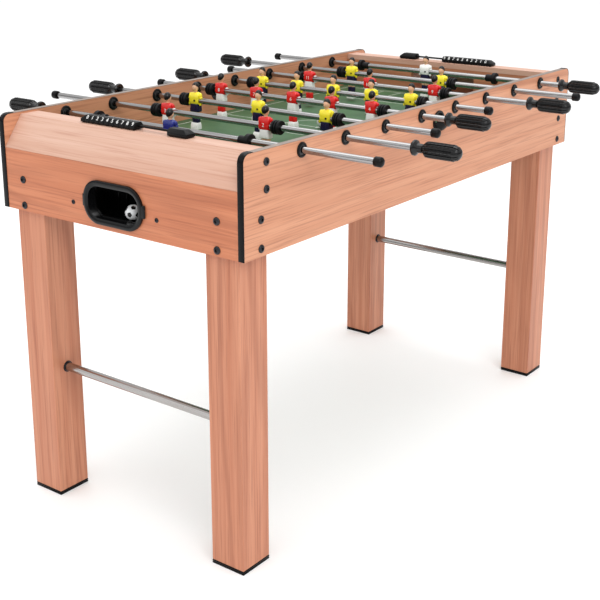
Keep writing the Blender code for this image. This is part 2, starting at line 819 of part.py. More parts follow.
def main():
    clear_scene()
    for name, side in (("front", -1), ("rear", 1)):
        side_panel(f"side_panel_{name}", side)
        serving_cup(f"serving_cup_{name}", side)
    playfield()
    for name, end in (("near", -1), ("far", 1)):
        end_apron(f"end_apron_{name}", end)
        end_ledge(f"end_ledge_{name}", end)
        goal_wall(f"goal_wall_{name}", end)
        ball_return(f"ball_return_{name}", end)
        cross_bar(f"cross_bar_{name}", end)
        score_rail(f"score_rail_{name}", end)
        score_beads(f"score_beads_{name}", end)
        for place, side in (("front", -1), ("rear", 1)):
            leg(f"leg_{name}_{place}", end, side)
            foot_pad(f"foot_pad_{name}_{place}", end, side)
    for index in range(ROD_COUNT):
        rod(index)
        handle(index)
        bushing(f"bushing_{index + 1}_front", index, -1)
        bushing(f"bushing_{index + 1}_rear", index, 1)


main()
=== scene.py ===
"""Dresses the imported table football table: boards, trims, rods, figures, cups and scorers."""

import logging
import math
from collections.abc import Callable, Iterator, Sequence
from contextlib import contextmanager
from dataclasses import dataclass, field
from enum import Enum

import bmesh
import bpy
from mathutils import Euler, Matrix, Vector


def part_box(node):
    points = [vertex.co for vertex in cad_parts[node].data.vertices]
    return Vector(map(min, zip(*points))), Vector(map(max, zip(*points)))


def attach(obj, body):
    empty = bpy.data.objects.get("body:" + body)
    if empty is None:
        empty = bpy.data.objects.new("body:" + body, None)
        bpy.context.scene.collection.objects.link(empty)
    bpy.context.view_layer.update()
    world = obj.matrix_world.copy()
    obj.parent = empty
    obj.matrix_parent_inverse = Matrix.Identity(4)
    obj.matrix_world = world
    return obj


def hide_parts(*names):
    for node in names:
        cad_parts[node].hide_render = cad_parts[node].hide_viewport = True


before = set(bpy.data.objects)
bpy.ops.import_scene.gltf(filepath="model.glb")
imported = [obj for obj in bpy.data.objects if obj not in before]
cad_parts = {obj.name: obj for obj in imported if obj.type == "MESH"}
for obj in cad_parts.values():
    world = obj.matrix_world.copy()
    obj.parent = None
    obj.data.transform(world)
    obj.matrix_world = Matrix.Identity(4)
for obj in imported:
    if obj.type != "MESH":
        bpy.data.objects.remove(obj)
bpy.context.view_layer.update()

LOG = logging.getLogger("table")
Colour = tuple[float, float, float]
Point = tuple[float, float, float]
Outline = tuple[tuple[float, float], ...]
Levels = tuple[tuple[float, float, float, float], ...]
Piece = bpy.types.Object
Socket = bpy.types.NodeSocket
EVEN = (1.0, 1.0, 1.0)
DOME_STEPS = (0.35, 0.7, 1.05)


# ---- modelling moves -------------------------------------------------------------------------


def deselect_all() -> None:
    """Leaves nothing selected, so that the next operator acts on one piece only."""
    for item in list(bpy.context.selected_objects):
        item.select_set(False)


def take(piece: Piece) -> None:
    """Makes one piece the selected and active one.

    Args:
        piece: The piece that the next operators act on.
    """
    deselect_all()
    piece.select_set(True)
    bpy.context.view_layer.objects.active = piece


def named(name: str) -> Piece:
    """Gives the primitive that was just added its name.

    Args:
        name: The new piece's name.

    Returns:
        The piece.
    """
    piece = bpy.context.object
    piece.name = name
    piece.data.name = name
    return piece


@contextmanager
def editing(piece: Piece) -> Iterator[bmesh.types.BMesh]:
    """Opens a piece in edit mode with nothing selected.

    Args:
        piece: The piece to edit.

    Yields:
        The edit mesh, for selecting by place or normal.
    """
    take(piece)
    bpy.ops.object.mode_set(mode="EDIT")
    bpy.ops.mesh.select_all(action="DESELECT")
    yield bmesh.from_edit_mesh(piece.data)
    bpy.ops.object.mode_set(mode="OBJECT")


def pick_faces(
    piece: Piece, bm: bmesh.types.BMesh, test: Callable[[Vector, Vector], bool]
) -> None:
    """Selects the faces whose middle and normal pass a test.

    Args:
        piece: The piece in edit mode.
        bm: Its edit mesh.
        test: Takes a face's middle and its normal.
    """
    bpy.ops.mesh.select_mode(type="FACE")
    bpy.ops.mesh.select_all(action="DESELECT")
    for face in bm.faces:
        face.select_set(test(face.calc_center_median(), face.normal))
    bmesh.update_edit_mesh(piece.data)


def pick_edges(
    piece: Piece, bm: bmesh.types.BMesh, test: Callable[[Vector, Vector], bool]
) -> None:
    """Selects the edges whose middle and direction pass a test.

    Args:
        piece: The piece in edit mode.
        bm: Its edit mesh.
        test: Takes an edge's middle and its direction.
    """
    bpy.ops.mesh.select_mode(type="EDGE")
    bpy.ops.mesh.select_all(action="DESELECT")
    for edge in bm.edges:
        first, second = (vert.co for vert in edge.verts)
        edge.select_set(test((first + second) / 2, (second - first).normalized()))
    bmesh.update_edit_mesh(piece.data)


def settle(piece: Piece, angle: float = 35.0) -> Piece:
    """Puts a piece's place into its mesh and shades it smooth up to an angle.

    Args:
        piece: The piece to settle.
        angle: Edges sharper than this, in degrees, stay crisp.

    Returns:
        The same piece, with its object at the origin.
    """
    take(piece)
    bpy.ops.object.transform_apply(location=True, rotation=True, scale=True)
    bpy.ops.object.shade_smooth_by_angle(angle=math.radians(angle))
    return piece


def block(name: str, low: Sequence[float], high: Sequence[float]) -> Piece:
    """A box primitive between two corners, with its place applied.

    Args:
        name: The piece's name.
        low: The lowest corner.
        high: The highest corner.

    Returns:
        The piece.
    """
    deselect_all()
    a, b = Vector(low), Vector(high)
    bpy.ops.mesh.primitive_cube_add(size=1.0, location=(a + b) / 2, scale=b - a)
    piece = named(name)
    bpy.ops.object.transform_apply(location=True, rotation=True, scale=True)
    return piece


def bar(
    name: str, first: Sequence[float], second: Sequence[float], radius: float, sides: int = 32
) -> Piece:
    """A round bar between two points.

    Args:
        name: The piece's name.
        first: One end.
        second: The other end.
        radius: The bar's radius.
        sides: How many sides the round has.

    Returns:
        The piece.
    """
    deselect_all()
    a, b = Vector(first), Vector(second)
    turn = (b - a).to_track_quat("Z", "Y").to_euler()
    bpy.ops.mesh.primitive_cylinder_add(
        vertices=sides, radius=radius, depth=(b - a).length, location=(a + b) / 2, rotation=turn
    )
    piece = named(name)
    bpy.ops.object.transform_apply(location=True, rotation=True, scale=True)
    return piece


def ball(name: str, centre: Sequence[float], size: Sequence[float], sides: int = 24) -> Piece:
    """A sphere primitive stretched to half sizes.

    Args:
        name: The piece's name.
        centre: Its middle.
        size: Half sizes along X, Y and Z.
        sides: How many segments go round it.

    Returns:
        The piece.
    """
    deselect_all()
    bpy.ops.mesh.primitive_uv_sphere_add(
        segments=sides, ring_count=sides // 2, radius=1.0, location=centre, scale=size
    )
    piece = named(name)
    bpy.ops.object.transform_apply(location=True, rotation=True, scale=True)
    return piece


def turned(name: str, outline: Sequence[tuple[float, float]], sides: int = 32) -> Piece:
    """Extrudes a point along an outline and spins it about the Y axis, as on a lathe.

    Args:
        name: The piece's name.
        outline: Radius and distance along Y of each point.
        sides: How many steps the spin takes.

    Returns:
        The piece, at the origin.
    """
    deselect_all()
    bpy.ops.mesh.primitive_plane_add(size=0.001, location=(0.0, 0.0, 0.0))
    piece = named(name)
    bpy.ops.object.mode_set(mode="EDIT")
    bpy.ops.mesh.select_mode(type="VERT")
    bpy.ops.mesh.select_all(action="SELECT")
    bpy.ops.mesh.merge(type="CENTER")
    bpy.ops.transform.translate(value=(outline[0][0], outline[0][1], 0.0))
    for before, after in zip(outline, outline[1:]):
        move = (after[0] - before[0], after[1] - before[1], 0.0)
        bpy.ops.mesh.extrude_region_move(TRANSFORM_OT_translate={"value": move})
    bpy.ops.mesh.select_all(action="SELECT")
    bpy.ops.mesh.spin(steps=sides, angle=math.tau, center=(0.0, 0.0, 0.0), axis=(0.0, 1.0, 0.0))
    bpy.ops.mesh.select_all(action="SELECT")
    bpy.ops.mesh.remove_doubles(threshold=1e-6)
    bpy.ops.mesh.normals_make_consistent(inside=False)
    bpy.ops.object.mode_set(mode="OBJECT")
    return piece


def stacked(name: str, stations: Sequence[tuple[float, float, float, float]]) -> Piece:
    """A block drawn up through stations, each wider or narrower than the one below.

    Args:
        name: The piece's name.
        stations: Height, middle along X, half depth along X and half width along Y.

    Returns:
        The piece.
    """
    (z0, x0, dx0, dy0), (z1, x1, dx1, dy1) = stations[:2]
    piece = block(name, (x0 - dx0, -dy0, z0), (x0 + dx0, dy0, z1))
    with editing(piece) as bm:
        pick_faces(piece, bm, lambda middle, normal: normal.z > 0.9)
        resize_top((x1, 0.0, z1), (x1 - x0, 0.0, 0.0), (dx1 / dx0, dy1 / dy0, 1.0))
        for below, above in zip(stations[1:], stations[2:]):
            rise = (0.0, 0.0, above[0] - below[0])
            bpy.ops.mesh.extrude_region_move(TRANSFORM_OT_translate={"value": rise})
            shift = (above[1] - below[1], 0.0, 0.0)
            grow = (above[2] / below[2], above[3] / below[3], 1.0)
            resize_top((above[1], 0.0, above[0]), shift, grow)
    return piece


def resize_top(centre: Point, shift: Point, scale: Point) -> None:
    """Shifts the selected faces and scales them about a centre.

    Args:
        centre: The fixed point of the scaling.
        shift: The move made first.
        scale: The factors along X, Y and Z.
    """
    bpy.ops.transform.translate(value=shift)
    bpy.ops.transform.resize(value=scale, center_override=centre)


def bevelled(piece: Piece, width: float, segments: int = 2, angle: float = 30.0) -> Piece:
    """Rounds a piece's sharp edges with a bevel that is applied at once.

    Args:
        piece: The piece.
        width: The bevel's width.
        segments: How many strips the bevel has.
        angle: Only edges sharper than this, in degrees, are rounded.

    Returns:
        The same piece.
    """
    modifier = piece.modifiers.new("edge", "BEVEL")
    modifier.width = width
    modifier.segments = segments
    modifier.limit_method = "ANGLE"
    modifier.angle_limit = math.radians(angle)
    take(piece)
    bpy.ops.object.modifier_apply(modifier=modifier.name)
    return piece


def cut(piece: Piece, tool: Piece) -> Piece:
    """Takes the tool's shape out of a piece, and removes the tool.

    Args:
        piece: The piece that is cut.
        tool: A closed piece.

    Returns:
        The cut piece.
    """
    modifier = piece.modifiers.new("cut", "BOOLEAN")
    modifier.operation = "DIFFERENCE"
    modifier.solver = "EXACT"
    modifier.object = tool
    take(piece)
    bpy.ops.object.modifier_apply(modifier=modifier.name)
    bpy.data.objects.remove(tool, do_unlink=True)
    return piece


def thickened(piece: Piece, wall: float) -> Piece:
    """Gives an open sheet a wall, inwards from its faces.

    Args:
        piece: The sheet.
        wall: The wall's thickness.

    Returns:
        The same piece.
    """
    modifier = piece.modifiers.new("wall", "SOLIDIFY")
    modifier.thickness = wall
    modifier.offset = -1.0
    modifier.use_even_offset = True
    take(piece)
    bpy.ops.object.modifier_apply(modifier=modifier.name)
    return piece


def joined(name: str, pieces: Sequence[Piece]) -> Piece:
    """Joins pieces into one object, which keeps each one's finish.

    Args:
        name: The new name.
        pieces: The pieces to join.

    Returns:
        The joined piece.
    """
    deselect_all()
    for piece in pieces:
        piece.select_set(True)
    bpy.context.view_layer.objects.active = pieces[0]
    bpy.ops.object.join()
    return named(name)


def placed(piece: Piece, place: Sequence[float], turn: Sequence[float] = (0.0, 0.0, 0.0)) -> Piece:
    """Turns a piece's mesh about the origin, then moves it.

    Args:
        piece: The piece.
        place: Where its origin goes.
        turn: Angles about X, Y and Z in degrees.

    Returns:
        The same piece, with its object at the origin.
    """
    angles = Euler([math.radians(angle) for angle in turn])
    piece.data.transform(Matrix.Translation(place) @ angles.to_matrix().to_4x4())
    return piece


def copied(
    piece: Piece, name: str, place: Sequence[float], turn: Sequence[float] = (0.0, 0.0, 0.0)
) -> Piece:
    """A copy with its own mesh, turned and moved.

    Args:
        piece: The piece to copy.
        name: The copy's name.
        place: Where the copy's origin goes.
        turn: Angles about X, Y and Z in degrees.

    Returns:
        The copy.
    """
    twin = piece.copy()
    twin.data = piece.data.copy()
    twin.name = name
    twin.data.name = name
    bpy.context.scene.collection.objects.link(twin)
    return placed(twin, place, turn)


def lettered(name: str, text: str, size: float, depth: float) -> Piece:
    """A number as a thin solid, centred on the origin and facing +Z.

    Args:
        name: The piece's name.
        text: The number.
        size: The height of the figures.
        depth: How thick the solid is.

    Returns:
        The piece as a mesh.
    """
    deselect_all()
    bpy.ops.object.text_add(location=(0.0, 0.0, 0.0))
    label = bpy.context.object
    label.data.body = text
    label.data.size = size
    label.data.extrude = depth / 2
    label.data.resolution_u = 3
    label.data.align_x = "CENTER"
    label.data.align_y = "CENTER"
    bpy.ops.object.convert(target="MESH")
    return named(name)


# ---- finishes --------------------------------------------------------------------------------


class Grain(Enum):
    """The way the grain of a board runs, as the stretch of its pattern along X, Y and Z."""

    LENGTH = (0.9, 9.0, 9.0)
    ACROSS = (9.0, 0.9, 9.0)
    UP = (9.0, 9.0, 0.9)


class Graph:
    """A small helper that builds one material's nodes."""

    def __init__(self, name: str) -> None:
        """Starts a material with its shader and Object coordinates.

        Args:
            name: The material's name.
        """
        self.material = bpy.data.materials.new(name)
        self.material.use_nodes = True
        self.tree = self.material.node_tree
        self.shader = self.tree.nodes["Principled BSDF"]
        self.place = self.add("ShaderNodeTexCoord").outputs["Object"]

    def add(self, kind: str, inputs: dict | None = None, **settings: object) -> bpy.types.Node:
        """Adds a node, sets it and feeds its inputs.

        Args:
            kind: The node's type.
            inputs: Values or output sockets by input name or number.
            settings: Properties of the node.

        Returns:
            The node.
        """
        node = self.tree.nodes.new(kind)
        for key, value in settings.items():
            setattr(node, key, value)
        for key, value in (inputs or {}).items():
            self.feed(node.inputs[key], value)
        return node

    def feed(self, socket: Socket, value: object) -> None:
        """Links a socket to an output, or gives it a value.

        Args:
            socket: The input socket.
            value: An output socket or a plain value.
        """
        if isinstance(value, Socket):
            self.tree.links.new(value, socket)
        else:
            socket.default_value = value

    def math(self, operation: str, *values: object) -> Socket:
        """One sum on numbers.

        Args:
            operation: The Math node's operation.
            values: Its inputs in order.

        Returns:
            The result socket.
        """
        return self.add("ShaderNodeMath", dict(enumerate(values)), operation=operation).outputs[0]

    def noise(
        self, stretch: Point, scale: float, detail: float = 4.0, place: Point = (0.0, 0.0, 0.0)
    ) -> Socket:
        """Noise over the piece, stretched along its axes.

        Args:
            stretch: The scale of the pattern along X, Y and Z.
            scale: How fine the noise is.
            detail: How many octaves it has.
            place: A shift, so that pieces differ.

        Returns:
            The noise's value socket.
        """
        moved = {"Vector": self.place, "Scale": stretch, "Location": place}
        spot = self.add("ShaderNodeMapping", moved).outputs[0]
        inputs = {"Vector": spot, "Scale": scale, "Detail": detail, "Roughness": 0.55}
        return self.add("ShaderNodeTexNoise", inputs).outputs[0]

    def ramp(
        self, value: Socket, low: float, high: float, start: float = 0.0, end: float = 1.0
    ) -> Socket:
        """Maps a range of a value on to another, without overshoot.

        Args:
            value: The value.
            low: Where the range starts.
            high: Where the range ends.
            start: The result at low.
            end: The result at high.

        Returns:
            The result socket.
        """
        inputs = {"Value": value, "From Min": low, "From Max": high, "To Min": start}
        inputs["To Max"] = end
        return self.add("ShaderNodeMapRange", inputs).outputs[0]

    def blend(self, share: object, first: object, second: object) -> Socket:
        """Mixes two colours.

        Args:
            share: How much of the second shows.
            first: A colour or a colour socket.
            second: A colour or a colour socket.

        Returns:
            The colour socket.
        """
        mix = self.add("ShaderNodeMix", data_type="RGBA")
        colours = [(*c, 1.0) if isinstance(c, tuple) else c for c in (first, second)]
        self.feed(mix.inputs[0], share)
        self.feed(mix.inputs[6], colours[0])
        self.feed(mix.inputs[7], colours[1])
        return mix.outputs[2]

    def surface(self, **inputs: object) -> None:
        """Feeds the shader's sockets by name, with _ for a space.

        Args:
            inputs: Values or sockets.
        """
        for key, value in inputs.items():
            self.feed(self.shader.inputs[key.replace("_", " ")], value)

    def bump(self, height: Socket, strength: float, distance: float) -> None:
        """Gives the surface a fine relief.

        Args:
            height: The relief.
            strength: How much of it shows.
            distance: Its depth in metres.
        """
        inputs = {"Height": height, "Strength": strength, "Distance": distance}
        self.surface(Normal=self.add("ShaderNodeBump", inputs).outputs[0])


@dataclass(frozen=True)
class Wood:
    """A printed wood laminate: soft flame figure, fine streaks and pores under a satin coat."""

    name: str
    grain: Grain
    light: Colour = (0.640, 0.298, 0.170)
    mid: Colour = (0.585, 0.256, 0.142)
    line: Colour = (0.300, 0.098, 0.046)
    shift: Point = (0.0, 0.0, 0.0)

    def make(self) -> bpy.types.Material:
        """Builds the laminate's material.

        Returns:
            The material.
        """
        graph = Graph(self.name)
        stretch = self.grain.value
        flame = graph.noise(stretch, 0.55, 2.0, self.shift)
        rings = graph.math("SINE", graph.math("MULTIPLY", flame, 72.0))
        fade = graph.ramp(graph.noise(stretch, 0.9, 3.0, self.shift), 0.40, 0.62)
        figure = graph.math("MULTIPLY", graph.ramp(rings, -0.2, 1.0), fade)
        fine = tuple(3.0 * s if s > 1 else 0.5 * s for s in stretch)
        finest = tuple(12.0 * s if s > 1 else 2.4 * s for s in stretch)
        streak = graph.noise(fine, 2.4, 8.0, self.shift)
        pores = graph.noise(finest, 3.0, 4.0, self.shift)
        ground = graph.blend(graph.ramp(streak, 0.36, 0.66), self.light, self.mid)
        lined = graph.blend(graph.ramp(figure, 0.0, 1.0, 0.0, 0.42), ground, self.line)
        colour = graph.blend(graph.ramp(pores, 0.50, 0.66, 0.0, 0.46), lined, self.line)
        rough = graph.ramp(streak, 0.2, 0.8, 0.36, 0.50)
        graph.surface(Base_Color=colour, Roughness=rough, Specular_IOR_Level=0.42)
        graph.bump(graph.math("ADD", pores, graph.math("MULTIPLY", streak, 0.5)), 0.12, 0.0004)
        return graph.material


@dataclass(frozen=True)
class Plastic:
    """A moulded plastic or rubber with a fine grain and slightly uneven gloss."""

    name: str
    colour: Colour
    rough: float = 0.38
    tone: float = 0.18
    texture: float = 900.0
    relief: float = 0.00008
    coat: float = 0.0
    shine: float = 0.5

    def make(self) -> bpy.types.Material:
        """Builds the plastic's material.

        Returns:
            The material.
        """
        graph = Graph(self.name)
        cloud = graph.noise(EVEN, 60.0, 4.0)
        fine = graph.noise(EVEN, self.texture, 2.0)
        deep = tuple(channel * (1.0 - self.tone) for channel in self.colour)
        graph.surface(
            Base_Color=graph.blend(graph.ramp(cloud, 0.35, 0.65), self.colour, deep),
            Roughness=graph.ramp(cloud, 0.3, 0.7, self.rough - 0.05, self.rough + 0.07),
            Coat_Weight=self.coat,
            Coat_Roughness=0.12,
            Specular_IOR_Level=self.shine,
        )
        graph.bump(fine, 0.25, self.relief)
        return graph.material


@dataclass(frozen=True)
class Metal:
    """A polished or brushed metal with faint lines along it and smudges in its gloss."""

    name: str
    colour: Colour = (0.33, 0.325, 0.325)
    rough: float = 0.10
    stretch: Point = (20.0, 1.0, 20.0)

    def make(self) -> bpy.types.Material:
        """Builds the metal's material.

        Returns:
            The material.
        """
        graph = Graph(self.name)
        lines = graph.noise(self.stretch, 18.0, 3.0)
        smudge = graph.noise(EVEN, 22.0, 4.0)
        deep = tuple(channel * 0.92 for channel in self.colour)
        brushed = graph.ramp(lines, 0.3, 0.7, 0.0, 0.05)
        touched = graph.ramp(smudge, 0.3, 0.7, self.rough, self.rough + 0.06)
        graph.surface(
            Base_Color=graph.blend(graph.ramp(lines, 0.35, 0.75), self.colour, deep),
            Metallic=1.0,
            Roughness=graph.math("ADD", brushed, touched),
        )
        graph.bump(lines, 0.02, 0.00003)
        return graph.material


@dataclass(frozen=True)
class FieldPrint:
    """The green playing surface with its white lines, printed on board."""

    name: str = "field print"
    grass: Colour = (0.050, 0.140, 0.058)
    deep: Colour = (0.036, 0.104, 0.044)
    chalk: Colour = (0.60, 0.66, 0.58)
    half_length: float = 0.495
    half_width: float = 0.262
    circle: float = 0.085
    box_reach: float = 0.135
    box_half: float = 0.150
    area_reach: float = 0.060
    area_half: float = 0.100
    line: float = 0.0013

    def edge(self, graph: Graph, value: object, at: float) -> Socket:
        """A stripe where a value is near a place.

        Args:
            graph: The material's graph.
            value: The measured value.
            at: Where the stripe runs.

        Returns:
            A mask socket, 1 on the stripe.
        """
        return graph.math("COMPARE", value, at, self.line)

    def rectangle(
        self, graph: Graph, x: object, y: object, reach: float, half: float
    ) -> Socket:
        """The outline of a box that opens from one end line.

        Args:
            graph: The material's graph.
            x: Distance from the middle line.
            y: Distance from the long middle.
            reach: How far the box comes out from the end line.
            half: Its half width.

        Returns:
            A mask socket, 1 on the outline.
        """
        near, far = self.half_length - reach, self.half_length
        front = graph.math("MULTIPLY", self.edge(graph, x, near), graph.math("LESS_THAN", y, half))
        past, before = graph.math("GREATER_THAN", x, near), graph.math("LESS_THAN", x, far)
        within = graph.math("MULTIPLY", past, before)
        side = graph.math("MULTIPLY", self.edge(graph, y, half), within)
        return graph.math("MAXIMUM", front, side)

    def make(self) -> bpy.types.Material:
        """Builds the printed surface's material.

        Returns:
            The material.
        """
        graph = Graph(self.name)
        split = graph.add("ShaderNodeSeparateXYZ", {0: graph.place})
        x, y = split.outputs[0], split.outputs[1]
        along, side = graph.math("ABSOLUTE", x), graph.math("ABSOLUTE", y)
        squares = [graph.math("POWER", value, 2.0) for value in (along, side)]
        reach = graph.math("SQRT", graph.math("ADD", *squares))
        on_pitch = graph.math(
            "MULTIPLY",
            graph.math("LESS_THAN", along, self.half_length + self.line),
            graph.math("LESS_THAN", side, self.half_width + self.line),
        )
        marks = [
            self.edge(graph, along, self.half_length),
            self.edge(graph, side, self.half_width),
            self.edge(graph, along, 0.0),
            self.edge(graph, reach, self.circle),
            graph.math("LESS_THAN", reach, 4 * self.line),
            self.rectangle(graph, along, side, self.box_reach, self.box_half),
            self.rectangle(graph, along, side, self.area_reach, self.area_half),
        ]
        lines = marks[0]
        for mark in marks[1:]:
            lines = graph.math("MAXIMUM", lines, mark)
        lines = graph.math("MULTIPLY", lines, on_pitch)
        cloud = graph.noise(EVEN, 9.0, 5.0)
        speck = graph.noise(EVEN, 420.0, 2.0)
        grass = graph.blend(graph.ramp(cloud, 0.35, 0.65), self.grass, self.deep)
        grass = graph.blend(graph.ramp(speck, 0.45, 0.7, 0.0, 0.25), grass, self.deep)
        worn = graph.math("MULTIPLY", lines, graph.ramp(speck, 0.2, 0.6, 0.75, 1.0))
        graph.surface(
            Base_Color=graph.blend(worn, grass, self.chalk),
            Roughness=graph.ramp(cloud, 0.3, 0.7, 0.42, 0.52),
            Specular_IOR_Level=0.35,
        )
        graph.bump(speck, 0.1, 0.0001)
        return graph.material


class Finishes:
    """Every finish on the table, made once and shared by the pieces that wear it."""

    def __init__(self) -> None:
        """Lists the finishes by the name that pieces ask for."""
        # The apron's tones are the side laminate's made darker and deeper: painted shade on the end
        # faces.
        shaded_apron_tones = (0.600, 0.220, 0.106), (0.490, 0.158, 0.072), (0.290, 0.080, 0.036)
        # The ledge's tones are the side laminate's made paler: painted light on its upward face.
        lit_ledge_tones = (0.62, 0.395, 0.305), (0.555, 0.325, 0.235), (0.42, 0.19, 0.125)
        inner = (0.48, 0.20, 0.105), (0.38, 0.145, 0.072), (0.25, 0.080, 0.036)
        post = (0.585, 0.248, 0.142), (0.480, 0.176, 0.094), (0.280, 0.084, 0.041)
        ink, paint = (0.004, 0.004, 0.0045), (500.0, 0.00003)
        plans = {
            "side_wood": Wood("side laminate", Grain.LENGTH),
            "apron_wood": Wood("apron laminate", Grain.ACROSS, *shaded_apron_tones, (1.3, 0.4, 0.7)),
            "ledge_wood": Wood("ledge laminate", Grain.ACROSS, *lit_ledge_tones, (2.1, 0.2, 0.3)),
            "goal_wood": Wood("goal wall laminate", Grain.ACROSS, *inner, (0.6, 2.4, 0.1)),
            "leg_wood": Wood("leg laminate", Grain.UP, *post, (0.3, 0.9, 0.0)),
            "field": FieldPrint(),
            "black": Plastic("black moulding", (0.005, 0.005, 0.0055), 0.28, shine=0.14),
            "trim": Plastic("edge trim", ink, 0.22, relief=0.00004, shine=0.11),
            "strip": Plastic("top strip", (0.26, 0.205, 0.175), 0.42),
            "grip": Plastic("handle rubber", ink, 0.14, relief=0.00004, shine=0.38),
            "rubber": Plastic(
                "stop rubber", (0.006, 0.006, 0.007), 0.40, relief=0.00012, shine=0.16
            ),
            "ring": Plastic("bushing liner", (0.035, 0.035, 0.037), 0.30, shine=0.3),
            "deep": Plastic("cup moulding", ink, 0.20, relief=0.00004, shine=0.22),
            "bolt": Metal("black oxide", (0.045, 0.045, 0.05), 0.30, (30.0, 30.0, 30.0)),
            "chrome": Metal("polished tube"),
            "steel": Metal("cross bar steel", (0.40, 0.385, 0.375), 0.13),
            "red": Plastic("red paint", (0.70, 0.012, 0.010), 0.26, 0.12, *paint, 0.12, 0.4),
            "yellow": Plastic("yellow paint", (0.93, 0.78, 0.03), 0.26, 0.10, *paint, 0.12, 0.4),
            "blue": Plastic("blue paint", (0.012, 0.022, 0.20), 0.26, 0.12, *paint, 0.12, 0.4),
            "navy": Plastic("navy paint", (0.006, 0.006, 0.035), 0.26, 0.12, *paint, 0.10, 0.3),
            "white": Plastic("white paint", (0.86, 0.86, 0.84), 0.28, 0.06, *paint, 0.30),
            "skin": Plastic("skin paint", (0.80, 0.46, 0.28), 0.34, 0.08, *paint, 0.20),
            "hair": Plastic(
                "hair paint", (0.006, 0.005, 0.005), 0.26, 0.20, 500.0, 0.00006, 0.10, 0.3
            ),
            "ball": Plastic("ball shell", (0.85, 0.86, 0.87), 0.24, 0.05, 600.0, 0.00003, 0.30),
        }
        self.materials = {key: plan.make() for key, plan in plans.items()}

    def put(self, piece: Piece, *keys: str) -> Piece:
        """Gives a piece its finish or finishes.

        Args:
            piece: The piece.
            keys: The finishes, in the order of its material slots.

        Returns:
            The same piece.
        """
        piece.data.materials.clear()
        for key in keys:
            piece.data.materials.append(self.materials[key])
        return piece


# ---- sub-assemblies --------------------------------------------------------------------------


@dataclass
class Assembly:
    """What every sub-assembly shares: its finishes and how its pieces join the table."""

    finishes: Finishes

    def keep(self, piece: Piece, body: str, slot: str, *nodes: str, angle: float = 35.0) -> Piece:
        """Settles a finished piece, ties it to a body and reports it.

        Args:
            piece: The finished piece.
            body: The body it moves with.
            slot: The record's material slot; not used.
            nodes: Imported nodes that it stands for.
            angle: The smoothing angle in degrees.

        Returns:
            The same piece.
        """
        settle(piece, angle)
        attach(piece, body)
        if nodes:
            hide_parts(*nodes)
        LOG.info("%s: %d faces on %s", piece.name, len(piece.data.polygons), body)
        return piece

    def dress(self, node: str, key: str) -> None:
        """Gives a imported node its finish, as it stands.

        Args:
            node: The node's name.
            key: The finish.
        """
        self.finishes.put(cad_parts[node], key)
        LOG.info("%s: dressed in %s", node, key)


